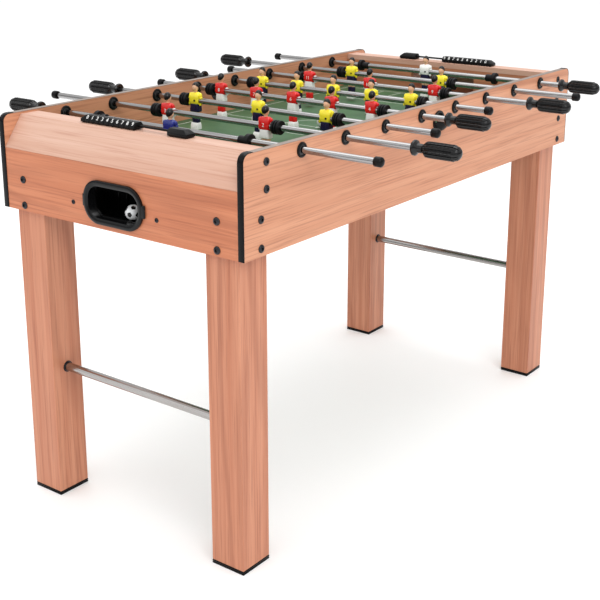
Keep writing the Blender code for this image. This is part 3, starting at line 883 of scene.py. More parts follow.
@dataclass
class Cabinet(Assembly):
    """The boards, their edge trims, the field and the bolts."""

    board: float = 0.012
    half_width: float = 0.300
    sunk: float = 0.0002
    trim_proud: float = 0.0012
    trim_overlap: float = 0.0004
    trim_edge: float = 0.0005
    corner: float = 0.015
    corner_run: float = 0.010
    corner_steps: int = 8
    strip_proud: float = 0.0006
    strip_edge: float = 0.0003
    goal_half: float = 0.0897
    goal_head: float = 0.750
    lip_drop: float = 0.0030
    lip_gap: float = 0.0001
    lip_proud: float = 0.0004
    lip_edge: float = 0.0006
    bolt_radius: float = 0.0072
    bolt_rise: float = 0.0034
    bolt_skirt: float = 0.28
    socket_floor: float = 0.35
    socket_width: float = 0.46
    screw_width: float = 0.6
    screw_rise: float = 0.7
    panel_bolts: Outline = ((0.551, 0.0207), (0.551, 0.067), (0.566, 0.116), (0.566, 0.166))
    apron_bolts: Outline = ((0.2415, 0.119), (0.2415, 0.169))
    apron_screw: tuple[float, float] = (0.1045, 0.1405)

    def build(self) -> None:
        """Dresses the boards and adds what is fixed to them."""
        for side in ("front", "rear"):
            self.dress(f"side_panel_{side}", "side_wood")
            self.trims(side)
        for end in ("near", "far"):
            self.dress(f"end_apron_{end}", "apron_wood")
            self.dress(f"end_ledge_{end}", "ledge_wood")
            self.dress(f"goal_wall_{end}", "goal_wood")
            self.goal_lip(end)
        self.dress("playfield", "field")
        self.bolts()

    def trims(self, side: str) -> None:
        """Adds the black edge trims at both ends of a side panel, and the strip between them.

        Args:
            side: front or rear.
        """
        low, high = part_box(f"side_panel_{side}")
        board = (low.y, low.y + self.board) if side == "front" else (high.y - self.board, high.y)
        y0, y1 = board[0] - self.trim_overlap, board[1] + self.trim_overlap
        for end, sign in (("near", -1), ("far", 1)):
            face = low.x if sign < 0 else high.x
            xs = sorted((face - sign * self.sunk, face + sign * self.trim_proud))
            name = f"edge_trim_{side}_{end}"
            piece = block(name, (xs[0], y0, low.z), (xs[1], y1, high.z - self.corner))
            centre = (face - sign * self.corner, 0.0, high.z - self.corner)
            with editing(piece) as bm:
                pick_faces(piece, bm, lambda middle, normal: normal.z > 0.9)
                bpy.ops.mesh.spin(
                    steps=self.corner_steps, angle=math.pi / 2, center=centre, axis=(0.0, sign, 0.0)
                )
                run = (-sign * self.corner_run, 0.0, 0.0)
                bpy.ops.mesh.extrude_region_move(TRANSFORM_OT_translate={"value": run})
                bpy.ops.mesh.select_all(action="SELECT")
                bpy.ops.mesh.remove_doubles(threshold=1e-6)
                bpy.ops.mesh.normals_make_consistent(inside=False)
            bevelled(piece, self.trim_edge, 2)
            self.keep(self.finishes.put(piece, "trim"), "cabinet", "edge_trim")
        reach = high.x - self.corner - self.corner_run
        base, top = high.z - self.sunk, high.z + self.strip_proud
        strip = block(f"top_strip_{side}", (-reach, y0, base), (reach, y1, top))
        bevelled(strip, self.strip_edge)
        self.keep(self.finishes.put(strip, "strip"), "cabinet", "top_strip")

    def goal_lip(self, end: str) -> None:
        """Adds the dark line of edge trim round the head of a goal mouth.

        Args:
            end: near or far.
        """
        low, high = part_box(f"goal_wall_{end}")
        bottom = (low.x - self.lip_proud, -self.goal_half, self.goal_head - self.lip_drop)
        top = (high.x + self.lip_proud, self.goal_half, self.goal_head - self.lip_gap)
        piece = bevelled(block(f"goal_lip_{end}", bottom, top), self.lip_edge)
        self.keep(self.finishes.put(piece, "trim"), "cabinet", "edge_trim")

    def bolt(self, name: str, radius: float, rise: float) -> Piece:
        """A round-headed bolt with a hexagon socket, standing along +Y.

        Args:
            name: The piece's name.
            radius: The head's radius.
            rise: The head's height.

        Returns:
            The piece at the origin.
        """
        skirt = self.bolt_skirt
        outline = [(0.0, -self.sunk), (radius, -self.sunk), (radius, skirt * rise)]
        for angle in DOME_STEPS:
            height = skirt + (1.0 - skirt) * math.sin(angle)
            outline.append((radius * math.cos(angle), rise * height))
        head = turned(name, [*outline, (0.0, rise)], 28)
        floor, above = (0.0, self.socket_floor * rise, 0.0), (0.0, 2.0 * rise, 0.0)
        return cut(head, bar("socket", floor, above, self.socket_width * radius, 6))

    def bolts(self) -> None:
        """Sets the bolts into the side panels and end aprons."""
        _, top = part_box("side_panel_front")
        big = self.bolt("bolt", self.bolt_radius, self.bolt_rise)
        small = self.bolt(
            "screw", self.screw_width * self.bolt_radius, self.screw_rise * self.bolt_rise
        )
        spots = []
        for sign in (-1, 1):
            for x, drop in self.panel_bolts:
                for side, turn in ((-1, 180.0), (1, 0.0)):
                    spots.append((big, (sign * x, side * self.half_width, top.z - drop), turn))
            turn = -90.0 if sign > 0 else 90.0
            plan = [(big, spot) for spot in self.apron_bolts] + [(small, self.apron_screw)]
            for kind, (y, drop) in plan:
                for side in (-1, 1):
                    spots.append((kind, (sign * top.x, side * y, top.z - drop), turn))
        heads = [
            copied(kind, f"bolt_head_{number}", place, (0.0, 0.0, turn))
            for number, (kind, place, turn) in enumerate(spots, 1)
        ]
        for pattern in (big, small):
            bpy.data.objects.remove(pattern, do_unlink=True)
        for head in heads:
            self.keep(self.finishes.put(head, "bolt"), "cabinet", "black_bolt")


@dataclass
class Stand(Assembly):
    """The legs, their pads and the cross bars."""

    groove: float = 0.0009
    pad_edge: float = 0.0007
    washer: Outline = ((0.0004, 0.0), (0.0030, 0.0), (0.0026, 0.0012), (0.0004, 0.0014))

    def build(self) -> None:
        """Dresses the legs and bars and models the pads."""
        for end in ("near", "far"):
            self.dress(f"cross_bar_{end}", "steel")
            for side in ("front", "rear"):
                self.dress(f"leg_{end}_{side}", "leg_wood")
                self.pad(f"foot_pad_{end}_{side}")
            self.collars(end)

    def pad(self, node: str) -> None:
        """Two moulded plates with a shadow gap between them.

        Args:
            node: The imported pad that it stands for.
        """
        low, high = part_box(node)
        middle = (low.z + high.z) / 2
        plates = [
            block("lower", low, (high.x, high.y, middle - self.groove / 2)),
            block("upper", (low.x, low.y, middle + self.groove / 2), high),
        ]
        inset = Vector(EVEN) * 2 * self.groove
        core = block("core", low + inset, high - inset)
        for plate in plates:
            bevelled(plate, self.pad_edge, 2)
        piece = joined(f"pad_{node}", [*plates, core])
        self.keep(self.finishes.put(piece, "black"), "cabinet", "black_plastic", node)

    def collars(self, end: str) -> None:
        """Adds a thin dark washer where a cross bar enters each leg.

        Args:
            end: near or far.
        """
        low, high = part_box(f"cross_bar_{end}")
        x, z, radius = (low.x + high.x) / 2, (low.z + high.z) / 2, (high.z - low.z) / 2
        for side, place in (("front", -1), ("rear", 1)):
            box_low, box_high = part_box(f"leg_{end}_{side}")
            face = box_high.y if place < 0 else box_low.y
            outline = [(radius + out, along) for out, along in self.washer]
            piece = turned(f"bar_washer_{end}_{side}", [*outline, outline[0]], 32)
            placed(piece, (x, face, z), (0.0, 0.0, 0.0 if place < 0 else 180.0))
            self.keep(self.finishes.put(piece, "bolt"), "cabinet", "black_bolt")


@dataclass
class BallReturn(Assembly):
    """A moulded cup in an end apron, with the hopper behind it."""

    end: str
    middle: float = 0.6447
    half_y: float = 0.0735
    half_z: float = 0.0405
    round_corner: float = 0.037
    rim: float = 0.004
    bead: float = 0.0022
    bead_rise: float = 0.0012
    flat: float = 0.0044
    lead_in: float = 0.0042
    lead_depth: float = 0.0022
    throat: float = 0.0185
    throat_wall: float = 0.0016
    ear: float = 0.006
    ear_half: float = 0.012
    ear_edge: float = 0.0025
    wall: float = 0.003
    hopper_front: float = 0.0164
    opening_y: float = 0.0615
    opening_z: float = 0.0285
    opening_corner: float = 0.025
    spare: float = 0.01
    ribs: int = 6
    rib_span: float = 0.105
    rib_half: float = 0.0009
    rib_reach: float = 0.006
    rib_root: float = 0.0005
    rib_drop: float = 0.012
    rib_edge: float = 0.0004

    def build(self) -> None:
        """Models the cup for one end and sets it in place."""
        node = f"ball_return_{self.end}"
        sign = -1.0 if self.end == "near" else 1.0
        low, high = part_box(node)
        face = sign * max(abs(low.x), abs(high.x))
        plate = self.plate()
        ears = [self.mounting_ear(side) for side in (-1, 1)]
        hopper = self.hopper(high.x - low.x, high.y, low.z, high.z)
        ribs = self.stiffeners(high.x - low.x, low.z, high.z)
        cup = joined(f"return_cup_{self.end}", [plate, *ears, hopper, *ribs])
        turn = (0.0, 0.0, 0.0) if sign < 0 else (0.0, 0.0, 180.0)
        placed(cup, (face, 0.0, 0.0), turn)
        self.keep(self.finishes.put(cup, "deep"), "cabinet", "black_plastic", node, angle=40.0)

    def plate(self) -> Piece:
        """The rim with its raised bead and the throat that leads inwards.

        Returns:
            The piece, with its outer face at x = 0 and the throat towards +X.
        """
        low = (0.0, -self.half_y, self.middle - self.half_z)
        plate = block("rim", low, (self.rim, self.half_y, self.middle + self.half_z))
        with editing(plate) as bm:
            pick_edges(plate, bm, lambda spot, way: abs(way.x) > 0.9)
            bpy.ops.mesh.bevel(offset=self.round_corner, segments=10, affect="EDGES")
        with editing(plate) as bm:
            pick_faces(plate, bm, lambda spot, normal: normal.x < -0.9)
            bpy.ops.mesh.inset(thickness=self.bead, depth=0.0)
            bpy.ops.transform.translate(value=(-self.bead_rise, 0.0, 0.0))
            bpy.ops.mesh.inset(thickness=self.flat, depth=0.0)
            bpy.ops.mesh.inset(thickness=self.lead_in, depth=0.0)
            bpy.ops.transform.translate(value=(self.lead_depth, 0.0, 0.0))
            move = (self.throat, 0.0, 0.0)
            bpy.ops.mesh.extrude_region_move(TRANSFORM_OT_translate={"value": move})
            bpy.ops.mesh.delete(type="FACE")
        with editing(plate) as bm:
            pick_faces(plate, bm, lambda spot, normal: normal.x > 0.9 and spot.x > 0.5 * self.rim)
            bpy.ops.mesh.delete(type="FACE")
        return thickened(plate, self.throat_wall)

    def mounting_ear(self, side: int) -> Piece:
        """A small tab at one end of the rim.

        Args:
            side: Which end, -1 or 1.

        Returns:
            The piece.
        """
        out, inwards = side * self.half_y + self.ear * 0.4, side * self.half_y - self.ear
        ear = block(
            "ear",
            (-0.0008, inwards, self.middle - self.ear_half),
            (self.rim, out, self.middle + self.ear_half),
        )
        return bevelled(ear, self.ear_edge, 3)

    def hopper(self, depth: float, half: float, floor: float, top: float) -> Piece:
        """The open box behind the apron that the ball drops into.

        Args:
            depth: From the rim's face to the hopper's back.
            half: The hopper's half width.
            floor: Its underside.
            top: Its upper edge.

        Returns:
            The piece.
        """
        front, wall = self.hopper_front, self.wall
        hopper = block("hopper", (front, -half, floor), (depth, half, top))
        low = (front + wall, -half + wall, floor + wall)
        cut(hopper, block("well", low, (depth - wall, half - wall, top + self.spare)))
        mouth = block(
            "mouth",
            (front - self.spare, -self.opening_y, self.middle - self.opening_z),
            (front + 2 * wall, self.opening_y, self.middle + self.opening_z),
        )
        with editing(mouth) as bm:
            pick_edges(mouth, bm, lambda spot, way: abs(way.x) > 0.9)
            bpy.ops.mesh.bevel(offset=self.opening_corner, segments=10, affect="EDGES")
        return cut(hopper, mouth)

    def stiffeners(self, depth: float, floor: float, top: float) -> list[Piece]:
        """The upright ribs on the hopper's back wall.

        Args:
            depth: From the rim's face to the hopper's back.
            floor: The hopper's underside.
            top: The hopper's upper edge.

        Returns:
            The ribs.
        """
        ribs = []
        back = depth - self.wall
        for number in range(self.ribs):
            y = -self.rib_span / 2 + number * self.rib_span / (self.ribs - 1)
            low = (back - self.rib_reach, y - self.rib_half, floor + self.wall - self.rib_root)
            high = (back + self.rib_root, y + self.rib_half, top - self.rib_drop)
            ribs.append(bevelled(block("rib", low, high), self.rib_edge, 1))
        return ribs


@dataclass
class ServingCup(Assembly):
    """A flanged sleeve with a half bowl outside, which the ball is dropped into."""

    side: str
    height: float = 0.738
    face: float = 0.3003
    bore: float = 0.0160
    wall: float = 0.0016
    length: float = 0.0126
    flange: float = 0.0215
    rim: float = 0.0025
    bowl: float = 0.0205
    bowl_cut: float = 0.0005

    def build(self) -> None:
        """Models the cup for one side and sets it in place."""
        node = f"serving_cup_{self.side}"
        sleeve, length = self.bore + self.wall, self.length
        outline = [
            (self.bore, -length),
            (sleeve, -length),
            (sleeve, 0.0),
            (self.flange, 0.0),
            (self.flange, 0.6 * self.rim),
            (self.flange - 0.0010, self.rim),
            (self.bore + 0.0008, self.rim),
            (self.bore, self.rim - 0.0008),
            (self.bore, -length),
        ]
        ring = turned("ring", outline, 48)
        bowl = ball("bowl", (0.0, 0.0, 0.0), (self.bowl,) * 3, 48)
        with editing(bowl):
            for plane in ((0.0, 1.0, 0.0), (0.0, 0.0, -1.0)):
                bpy.ops.mesh.select_all(action="SELECT")
                bpy.ops.mesh.bisect(
                    plane_co=(0.0, self.bowl_cut, 0.0), plane_no=plane, clear_inner=True
                )
        thickened(bowl, self.wall)
        cup = joined(f"serving_scoop_{self.side}", [ring, bowl])
        sign, turn = (-1, 180.0) if self.side == "front" else (1, 0.0)
        placed(cup, (0.0, sign * self.face, self.height), (0.0, 0.0, turn))
        self.keep(self.finishes.put(cup, "black"), "cabinet", "black_plastic", node, angle=40.0)


class Kit(Enum):
    """The strips that figures wear: shirt, sleeve end, shorts, sock and the way they face."""

    RED = ("red", "white", "white", "red", 1)
    YELLOW = ("yellow", "yellow", "navy", "navy", -1)
    BLUE = ("blue", "blue", "navy", "navy", 1)
    WHITE = ("white", "white", "navy", "navy", -1)


@dataclass
class FigurePattern(Assembly):
    """One moulded player, about the rod's axis at the origin and facing +X."""

    kit: Kit
    foot: Levels = (
        (-0.0615, 0.0008, 0.0080, 0.0092),
        (-0.0520, 0.0008, 0.0076, 0.0090),
        (-0.0468, 0.0006, 0.0062, 0.0086),
    )
    calf: Levels = (
        (-0.0478, 0.0, 0.0046, 0.0038),
        (-0.0420, -0.0004, 0.0050, 0.0040),
        (-0.0335, -0.0002, 0.0046, 0.0039),
    )
    knee: Levels = (
        (-0.0337, -0.0002, 0.0043, 0.0036),
        (-0.0290, 0.0006, 0.0047, 0.0038),
        (-0.0205, 0.0002, 0.0052, 0.0042),
    )
    hem: Levels = (
        (-0.0242, 0.0004, 0.0078, 0.0112),
        (-0.0170, 0.0, 0.0080, 0.0108),
        (-0.0080, 0.0, 0.0074, 0.0098),
        (-0.0052, 0.0, 0.0070, 0.0094),
    )
    chest: Levels = (
        (-0.0072, 0.0, 0.0076, 0.0098),
        (-0.0010, 0.0, 0.0084, 0.0106),
        (0.0070, 0.0004, 0.0086, 0.0124),
        (0.0130, 0.0, 0.0070, 0.0128),
        (0.0165, -0.0004, 0.0050, 0.0092),
        (0.0178, -0.0004, 0.0036, 0.0050),
    )
    sleeve: Levels = (
        (0.0074, 0.0004, 0.0034, 0.0028),
        (0.0102, 0.0002, 0.0036, 0.0030),
        (0.0132, -0.0002, 0.0034, 0.0028),
        (0.0158, -0.0004, 0.0022, 0.0016),
    )
    forearm: Levels = (
        (-0.0098, 0.0020, 0.0025, 0.0019),
        (-0.0060, 0.0014, 0.0029, 0.0023),
        (0.0078, 0.0006, 0.0031, 0.0027),
    )
    leg_spread: float = 0.0042
    sleeve_spread: float = 0.0128
    forearm_spread: float = 0.0148
    boss_half: float = 0.0118
    boss_radius: float = 0.0086

    def build(self) -> Piece:
        """Models the player part by part and joins them.

        Returns:
            The pattern that the rods' figures are copied from.
        """
        shirt, cuff, shorts, sock, _ = self.kit.value
        parts = [*self.legs(sock), self.shorts(shorts), *self.shirt(shirt)]
        parts += [*self.arms(shirt, cuff), *self.head()]
        if self.kit is Kit.YELLOW or self.kit is Kit.WHITE:
            parts.append(self.badge())
        piece = joined(f"figure_pattern_{self.kit.name.lower()}", parts)
        return settle(piece, 42.0)

    def wear(self, piece: Piece, key: str) -> Piece:
        """Gives one part of the figure its paint."""
        return self.finishes.put(piece, key)

    def legs(self, sock: str) -> list[Piece]:
        """The foot block, and two legs with socks and bare knees.

        Args:
            sock: The finish of the socks.

        Returns:
            The parts.
        """
        parts = [self.wear(bevelled(stacked("foot", self.foot), 0.0011, 3), "white")]
        for side in (-1, 1):
            for name, levels, key in (("calf", self.calf, sock), ("knee", self.knee, "skin")):
                part = bevelled(stacked(name, levels), 0.0016, 3)
                placed(part, (0.0, side * self.leg_spread, 0.0))
                parts.append(self.wear(part, key))
        return parts

    def shorts(self, key: str) -> Piece:
        """The shorts, flared at the hem.

        Args:
            key: Their finish.

        Returns:
            The part.
        """
        return self.wear(bevelled(stacked("shorts", self.hem), 0.0022, 3), key)

    def shirt(self, key: str) -> list[Piece]:
        """The shirt, with the boss round the rod.

        Args:
            key: Its finish.

        Returns:
            The parts.
        """
        part = bevelled(stacked("shirt", self.chest), 0.0026, 3)
        half = self.boss_half
        boss = bar("boss", (0.0, -half, 0.0), (0.0, half, 0.0), self.boss_radius, 32)
        return [self.wear(part, key), self.wear(bevelled(boss, 0.0012, 2), key)]

    def arms(self, sleeve: str, cuff: str) -> list[Piece]:
        """Two arms held along the body.

        Args:
            sleeve: The sleeve's finish.
            cuff: The finish of the arm's lower part.

        Returns:
            The parts.
        """
        plan = (
            ("sleeve", self.sleeve, sleeve, self.sleeve_spread),
            ("forearm", self.forearm, cuff, self.forearm_spread),
        )
        parts = []
        for side in (-1, 1):
            for name, levels, key, spread in plan:
                part = bevelled(stacked(name, levels), 0.0012, 3)
                placed(part, (0.0, side * spread, 0.0))
                parts.append(self.wear(part, key))
        return parts

    def head(self) -> list[Piece]:
        """The neck, a plain moulded head and its hair.

        Returns:
            The parts.
        """
        neck = bar("neck", (0.0, 0.0, 0.0160), (0.0006, 0.0, 0.0225), 0.0036, 20)
        skull = ball("skull", (0.0006, 0.0, 0.0272), (0.0070, 0.0062, 0.0086), 24)
        nose = ball("nose", (0.0074, 0.0, 0.0262), (0.0012, 0.0009, 0.0015), 10)
        ears = [
            ball("ear", (0.0, side * 0.0062, 0.0266), (0.0013, 0.0008, 0.0018), 10)
            for side in (-1, 1)
        ]
        hair = ball("hair", (-0.0004, 0.0, 0.0290), (0.0080, 0.0071, 0.0098), 28)
        with editing(hair):
            bpy.ops.mesh.select_all(action="SELECT")
            bpy.ops.mesh.bisect(
                plane_co=(0.0020, 0.0, 0.0305),
                plane_no=(-0.62, 0.0, 0.78),
                use_fill=True,
                clear_inner=True,
            )
        bevelled(hair, 0.0005, 2)
        parts = [self.wear(part, "skin") for part in (neck, skull, nose, *ears)]
        return [*parts, self.wear(hair, "hair")]

    def badge(self) -> Piece:
        """A small dark spot low on the shirt's front."""
        spot = bar("badge", (0.0076, 0.0036, 0.0006), (0.0094, 0.0036, 0.0008), 0.0021, 16)
        return self.wear(spot, "hair")


@dataclass
class PlayingRod(Assembly):
    """One rod with its figures, stops, cap, handle and bushings."""

    number: int
    figures: int
    kit: Kit
    handle_side: int
    rest: float
    pattern: Piece
    spacing: float
    first_shirt: int
    tube: float = 0.006
    cap_length: float = 0.016
    cap_radius: float = 0.0087
    cap_dome: float = 0.0050
    cap_cover: float = 0.010
    collar_place: float = 0.167
    bumper_place: float = 0.0195
    collar: Outline = (
        (0.0072, 0.0),
        (0.0085, 0.0008),
        (0.0085, 0.0175),
        (0.0135, 0.0180),
        (0.0135, 0.0262),
        (0.0123, 0.0270),
    )
    bumper: Outline = (
        (0.0123, 0.0),
        (0.0135, 0.0010),
        (0.0135, 0.0052),
        (0.0109, 0.0060),
        (0.0109, 0.0072),
        (0.0135, 0.0080),
        (0.0135, 0.0108),
        (0.0109, 0.0116),
        (0.0109, 0.0128),
        (0.0135, 0.0136),
        (0.0135, 0.0170),
        (0.0123, 0.0180),
    )
    flutes: int = 14
    rows: int = 7
    grip_radius: float = 0.0136
    grip_start: float = 0.0300
    grip_dome: float = 0.013
    grip_bore: float = 0.0063
    flange_and_neck: Outline = (
        (0.0080, 0.0),
        (0.0122, 0.0),
        (0.0138, 0.0016),
        (0.0140, 0.0032),
        (0.0136, 0.0054),
        (0.0110, 0.0076),
        (0.0088, 0.0096),
        (0.0082, 0.0120),
        (0.0082, 0.0200),
        (0.0098, 0.0224),
        (0.0126, 0.0262),
        (0.0134, 0.0300),
    )
    groove_from: float = 0.0225
    groove_depth: float = 0.0014
    lug_from: float = 0.0262
    lug_rise: float = 0.0009
    bush_rim: float = 0.0035
    bush_flange: float = 0.0135
    bush_barrel: float = 0.0090
    bush_seat: float = 0.0088
    axis: Vector = field(init=False, default_factory=Vector)
    body: str = field(init=False, default="")

    def build(self) -> None:
        """Models everything on one rod."""
        low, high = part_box(f"bushing_{self.number}_front")
        self.axis = Vector(((low.x + high.x) / 2, 0.0, (low.z + high.z) / 2))
        self.body = f"rod_set_{self.number}"
        self.rod_tube()
        self.cap()
        self.stops()
        self.team()
        self.handle()
        for side, sign in (("front", -1), ("rear", 1)):
            self.bushing(side, sign)

    def men(self) -> list[float]:
        """Where the figures stand along Y."""
        middle = (self.figures - 1) / 2
        return [self.rest + (i - middle) * self.spacing for i in range(self.figures)]

    def at(self, y: float) -> Point:
        """A point on the rod's axis."""
        return (self.axis.x, y, self.axis.z)

    def rod_tube(self) -> None:
        """The polished tube, from inside the cap to inside the handle."""
        low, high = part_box(f"rod_{self.number}")
        plain_low = self.handle_side > 0
        start = low.y + self.cap_cover if plain_low else low.y
        end = high.y if plain_low else high.y - self.cap_cover
        piece = bar(f"tube_{self.number}", self.at(start), self.at(end), self.tube, 40)
        self.finishes.put(bevelled(piece, 0.0006, 2), "chrome")
        self.keep(piece, self.body, "chrome_tube", f"rod_{self.number}")

    def cap(self) -> None:
        """The rounded plastic cap on the plain end."""
        low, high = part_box(f"rod_{self.number}")
        end = low.y if self.handle_side > 0 else high.y
        radius, shoulder = self.cap_radius, self.cap_length - self.cap_dome
        outline = [(self.tube, 0.0), (radius - 0.0005, 0.0), (radius, 0.0008), (radius, shoulder)]
        for angle in (*DOME_STEPS, 1.3):
            along = shoulder + self.cap_dome * math.sin(angle)
            outline.append((radius * math.cos(angle), along))
        inside = shoulder - 0.0015
        outline += [(0.0, self.cap_length), (0.0, inside), (self.tube, inside), (self.tube, 0.0)]
        piece = turned(f"end_cap_{self.number}", outline, 36)
        start = end + self.cap_length * self.handle_side
        placed(piece, self.at(start), (0.0, 0.0, 180.0 if self.handle_side > 0 else 0.0))
        self.keep(self.finishes.put(piece, "black"), self.body, "black_plastic")

    def ring(self, name: str, ribs: Outline, place: float, sign: int) -> None:
        """One rubber ring on the rod.

        Args:
            name: The piece's name.
            ribs: Its outline, radius and distance outwards.
            place: Where it starts along Y.
            sign: Which way outwards is.
        """
        start, end = ribs[0][1], ribs[-1][1]
        bore = self.tube + 0.0002
        outline = [(bore, start), *ribs, (bore, end), (bore, start)]
        piece = turned(name, outline, 36)
        placed(piece, self.at(place), (0.0, 0.0, 0.0 if sign > 0 else 180.0))
        self.keep(self.finishes.put(piece, "rubber"), self.body, "black_rubber")

    def stops(self) -> None:
        """The ribbed bumpers, or on a one-figure rod the collars and discs."""
        places = self.men()
        single = self.figures == 1
        name, outline = ("stop", self.collar) if single else ("bumper", self.bumper)
        reach = self.collar_place if single else self.bumper_place
        for side, sign, man in (("front", -1, places[0]), ("rear", 1, places[-1])):
            self.ring(f"{name}_{self.number}_{side}", outline, man + sign * reach, sign)

    def team(self) -> None:
        """Copies the figure along the rod."""
        turn = (0.0, 0.0, 0.0 if self.kit.value[4] > 0 else 180.0)
        paint = "navy" if self.kit is Kit.BLUE else self.kit.name.lower()
        for index, place in enumerate(self.men(), 1):
            name = f"figure_{self.number}_{index}"
            piece = copied(self.pattern, name, (0.0, 0.0, 0.0), turn)
            if self.kit is Kit.RED:
                piece = self.numbered(piece, name, str(self.first_shirt + index - 1))
            placed(piece, self.at(place))
            self.keep(piece, self.body, f"{paint}_figure", angle=42.0)

    def numbered(self, figure: Piece, name: str, number: str) -> Piece:
        """Adds a plain number to a shirt's back.

        Args:
            figure: The figure at the origin.
            name: The joined piece's name.
            number: The number.

        Returns:
            The joined figure.
        """
        label = lettered("number", number, 0.0105, 0.0008)
        placed(label, (-0.0086, 0.0, 0.0022), (90.0, 0.0, -90.0))
        self.finishes.put(label, "white")
        return joined(name, [figure, label])

    def handle(self) -> None:
        """The fluted rubber grip with its thumb flange."""
        node = f"handle_{self.number}"
        low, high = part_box(node)
        sign = self.handle_side
        start = low.y if sign > 0 else high.y
        long = high.y - low.y
        radius, dome = self.grip_radius, self.grip_dome
        first, bore = self.grip_start, self.grip_bore
        outline = [(bore, 0.0010), *self.flange_and_neck]
        span = (long - dome - first) / self.rows
        outline += [(radius, first + row * span) for row in range(1, self.rows + 1)]
        for angle in (0.5, 0.9, 1.25):
            along = long - dome + dome * math.sin(angle)
            outline.append((radius * math.cos(angle), along))
        outline += [(0.0, long), (0.0, first), (bore, first), (bore, 0.0010)]
        piece = turned(f"grip_{self.number}", outline, self.flutes * 3)
        step = math.tau / (self.flutes * 3)

        def groove(middle: Vector) -> bool:
            """Whether a place is in one of the hollows along the grip."""
            return math.floor(math.atan2(middle.z, middle.x) / step) % 3 == 0

        def on_grip(middle: Vector) -> bool:
            """Whether a place is on the grip's outside."""
            outside = math.hypot(middle.x, middle.z) > 0.0080
            return outside and self.groove_from < middle.y < long - 0.002

        def on_lug(middle: Vector) -> bool:
            """Whether a place is on a bar between the hollows."""
            outside = math.hypot(middle.x, middle.z) > 0.0128
            return outside and self.lug_from < middle.y < long - dome and not groove(middle)

        with editing(piece) as bm:
            pick_faces(piece, bm, lambda middle, normal: on_grip(middle) and groove(middle))
            bpy.ops.mesh.inset(thickness=0.0003, depth=-self.groove_depth, use_even_offset=True)
            pick_faces(piece, bm, lambda middle, normal: on_grip(middle) and on_lug(middle))
            bpy.ops.mesh.inset(thickness=0.0007, depth=self.lug_rise, use_individual=True)
        placed(piece, self.at(start), (0.0, 0.0, 0.0 if sign > 0 else 180.0))
        self.keep(self.finishes.put(piece, "grip"), self.body, "black_rubber", node, angle=30.0)

    def bushing(self, side: str, sign: int) -> None:
        """The bearing in a side panel: a black flanged shell and a paler liner.

        Args:
            side: front or rear.
            sign: Which way outwards is.
        """
        node = f"bushing_{self.number}_{side}"
        low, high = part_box(node)
        half = (high.y - low.y) / 2
        rim, flange = self.bush_rim, self.bush_flange
        barrel, seat = self.bush_barrel, self.bush_seat
        outline = []
        for way in (1, -1):
            steps = [
                (seat, half - 0.0016),
                (seat + 0.0012, half - 0.0002),
                (seat + 0.0020, half),
                (flange - 0.0012, half - 0.0006),
                (flange, half - 0.0018),
                (flange, half - rim),
                (barrel, half - rim),
            ]
            outline += [(radius, way * along) for radius, along in steps[::way]]
        shell = self.finishes.put(turned("shell", [*outline, outline[0]], 40), "black")
        bore = self.tube + 0.0003
        ring = [(bore, half - 0.0014), (seat, half - 0.0020)]
        ring += [(seat, 0.0020 - half), (bore, 0.0014 - half)]
        liner = self.finishes.put(turned("liner", [*ring, ring[0]], 40), "ring")
        piece = joined(f"bearing_{self.number}_{side}", [shell, liner])
        placed(piece, self.at((low.y + high.y) / 2), (0.0, 0.0, 0.0 if sign > 0 else 180.0))
        self.keep(piece, f"bearing_{self.number}", "black_plastic", node)


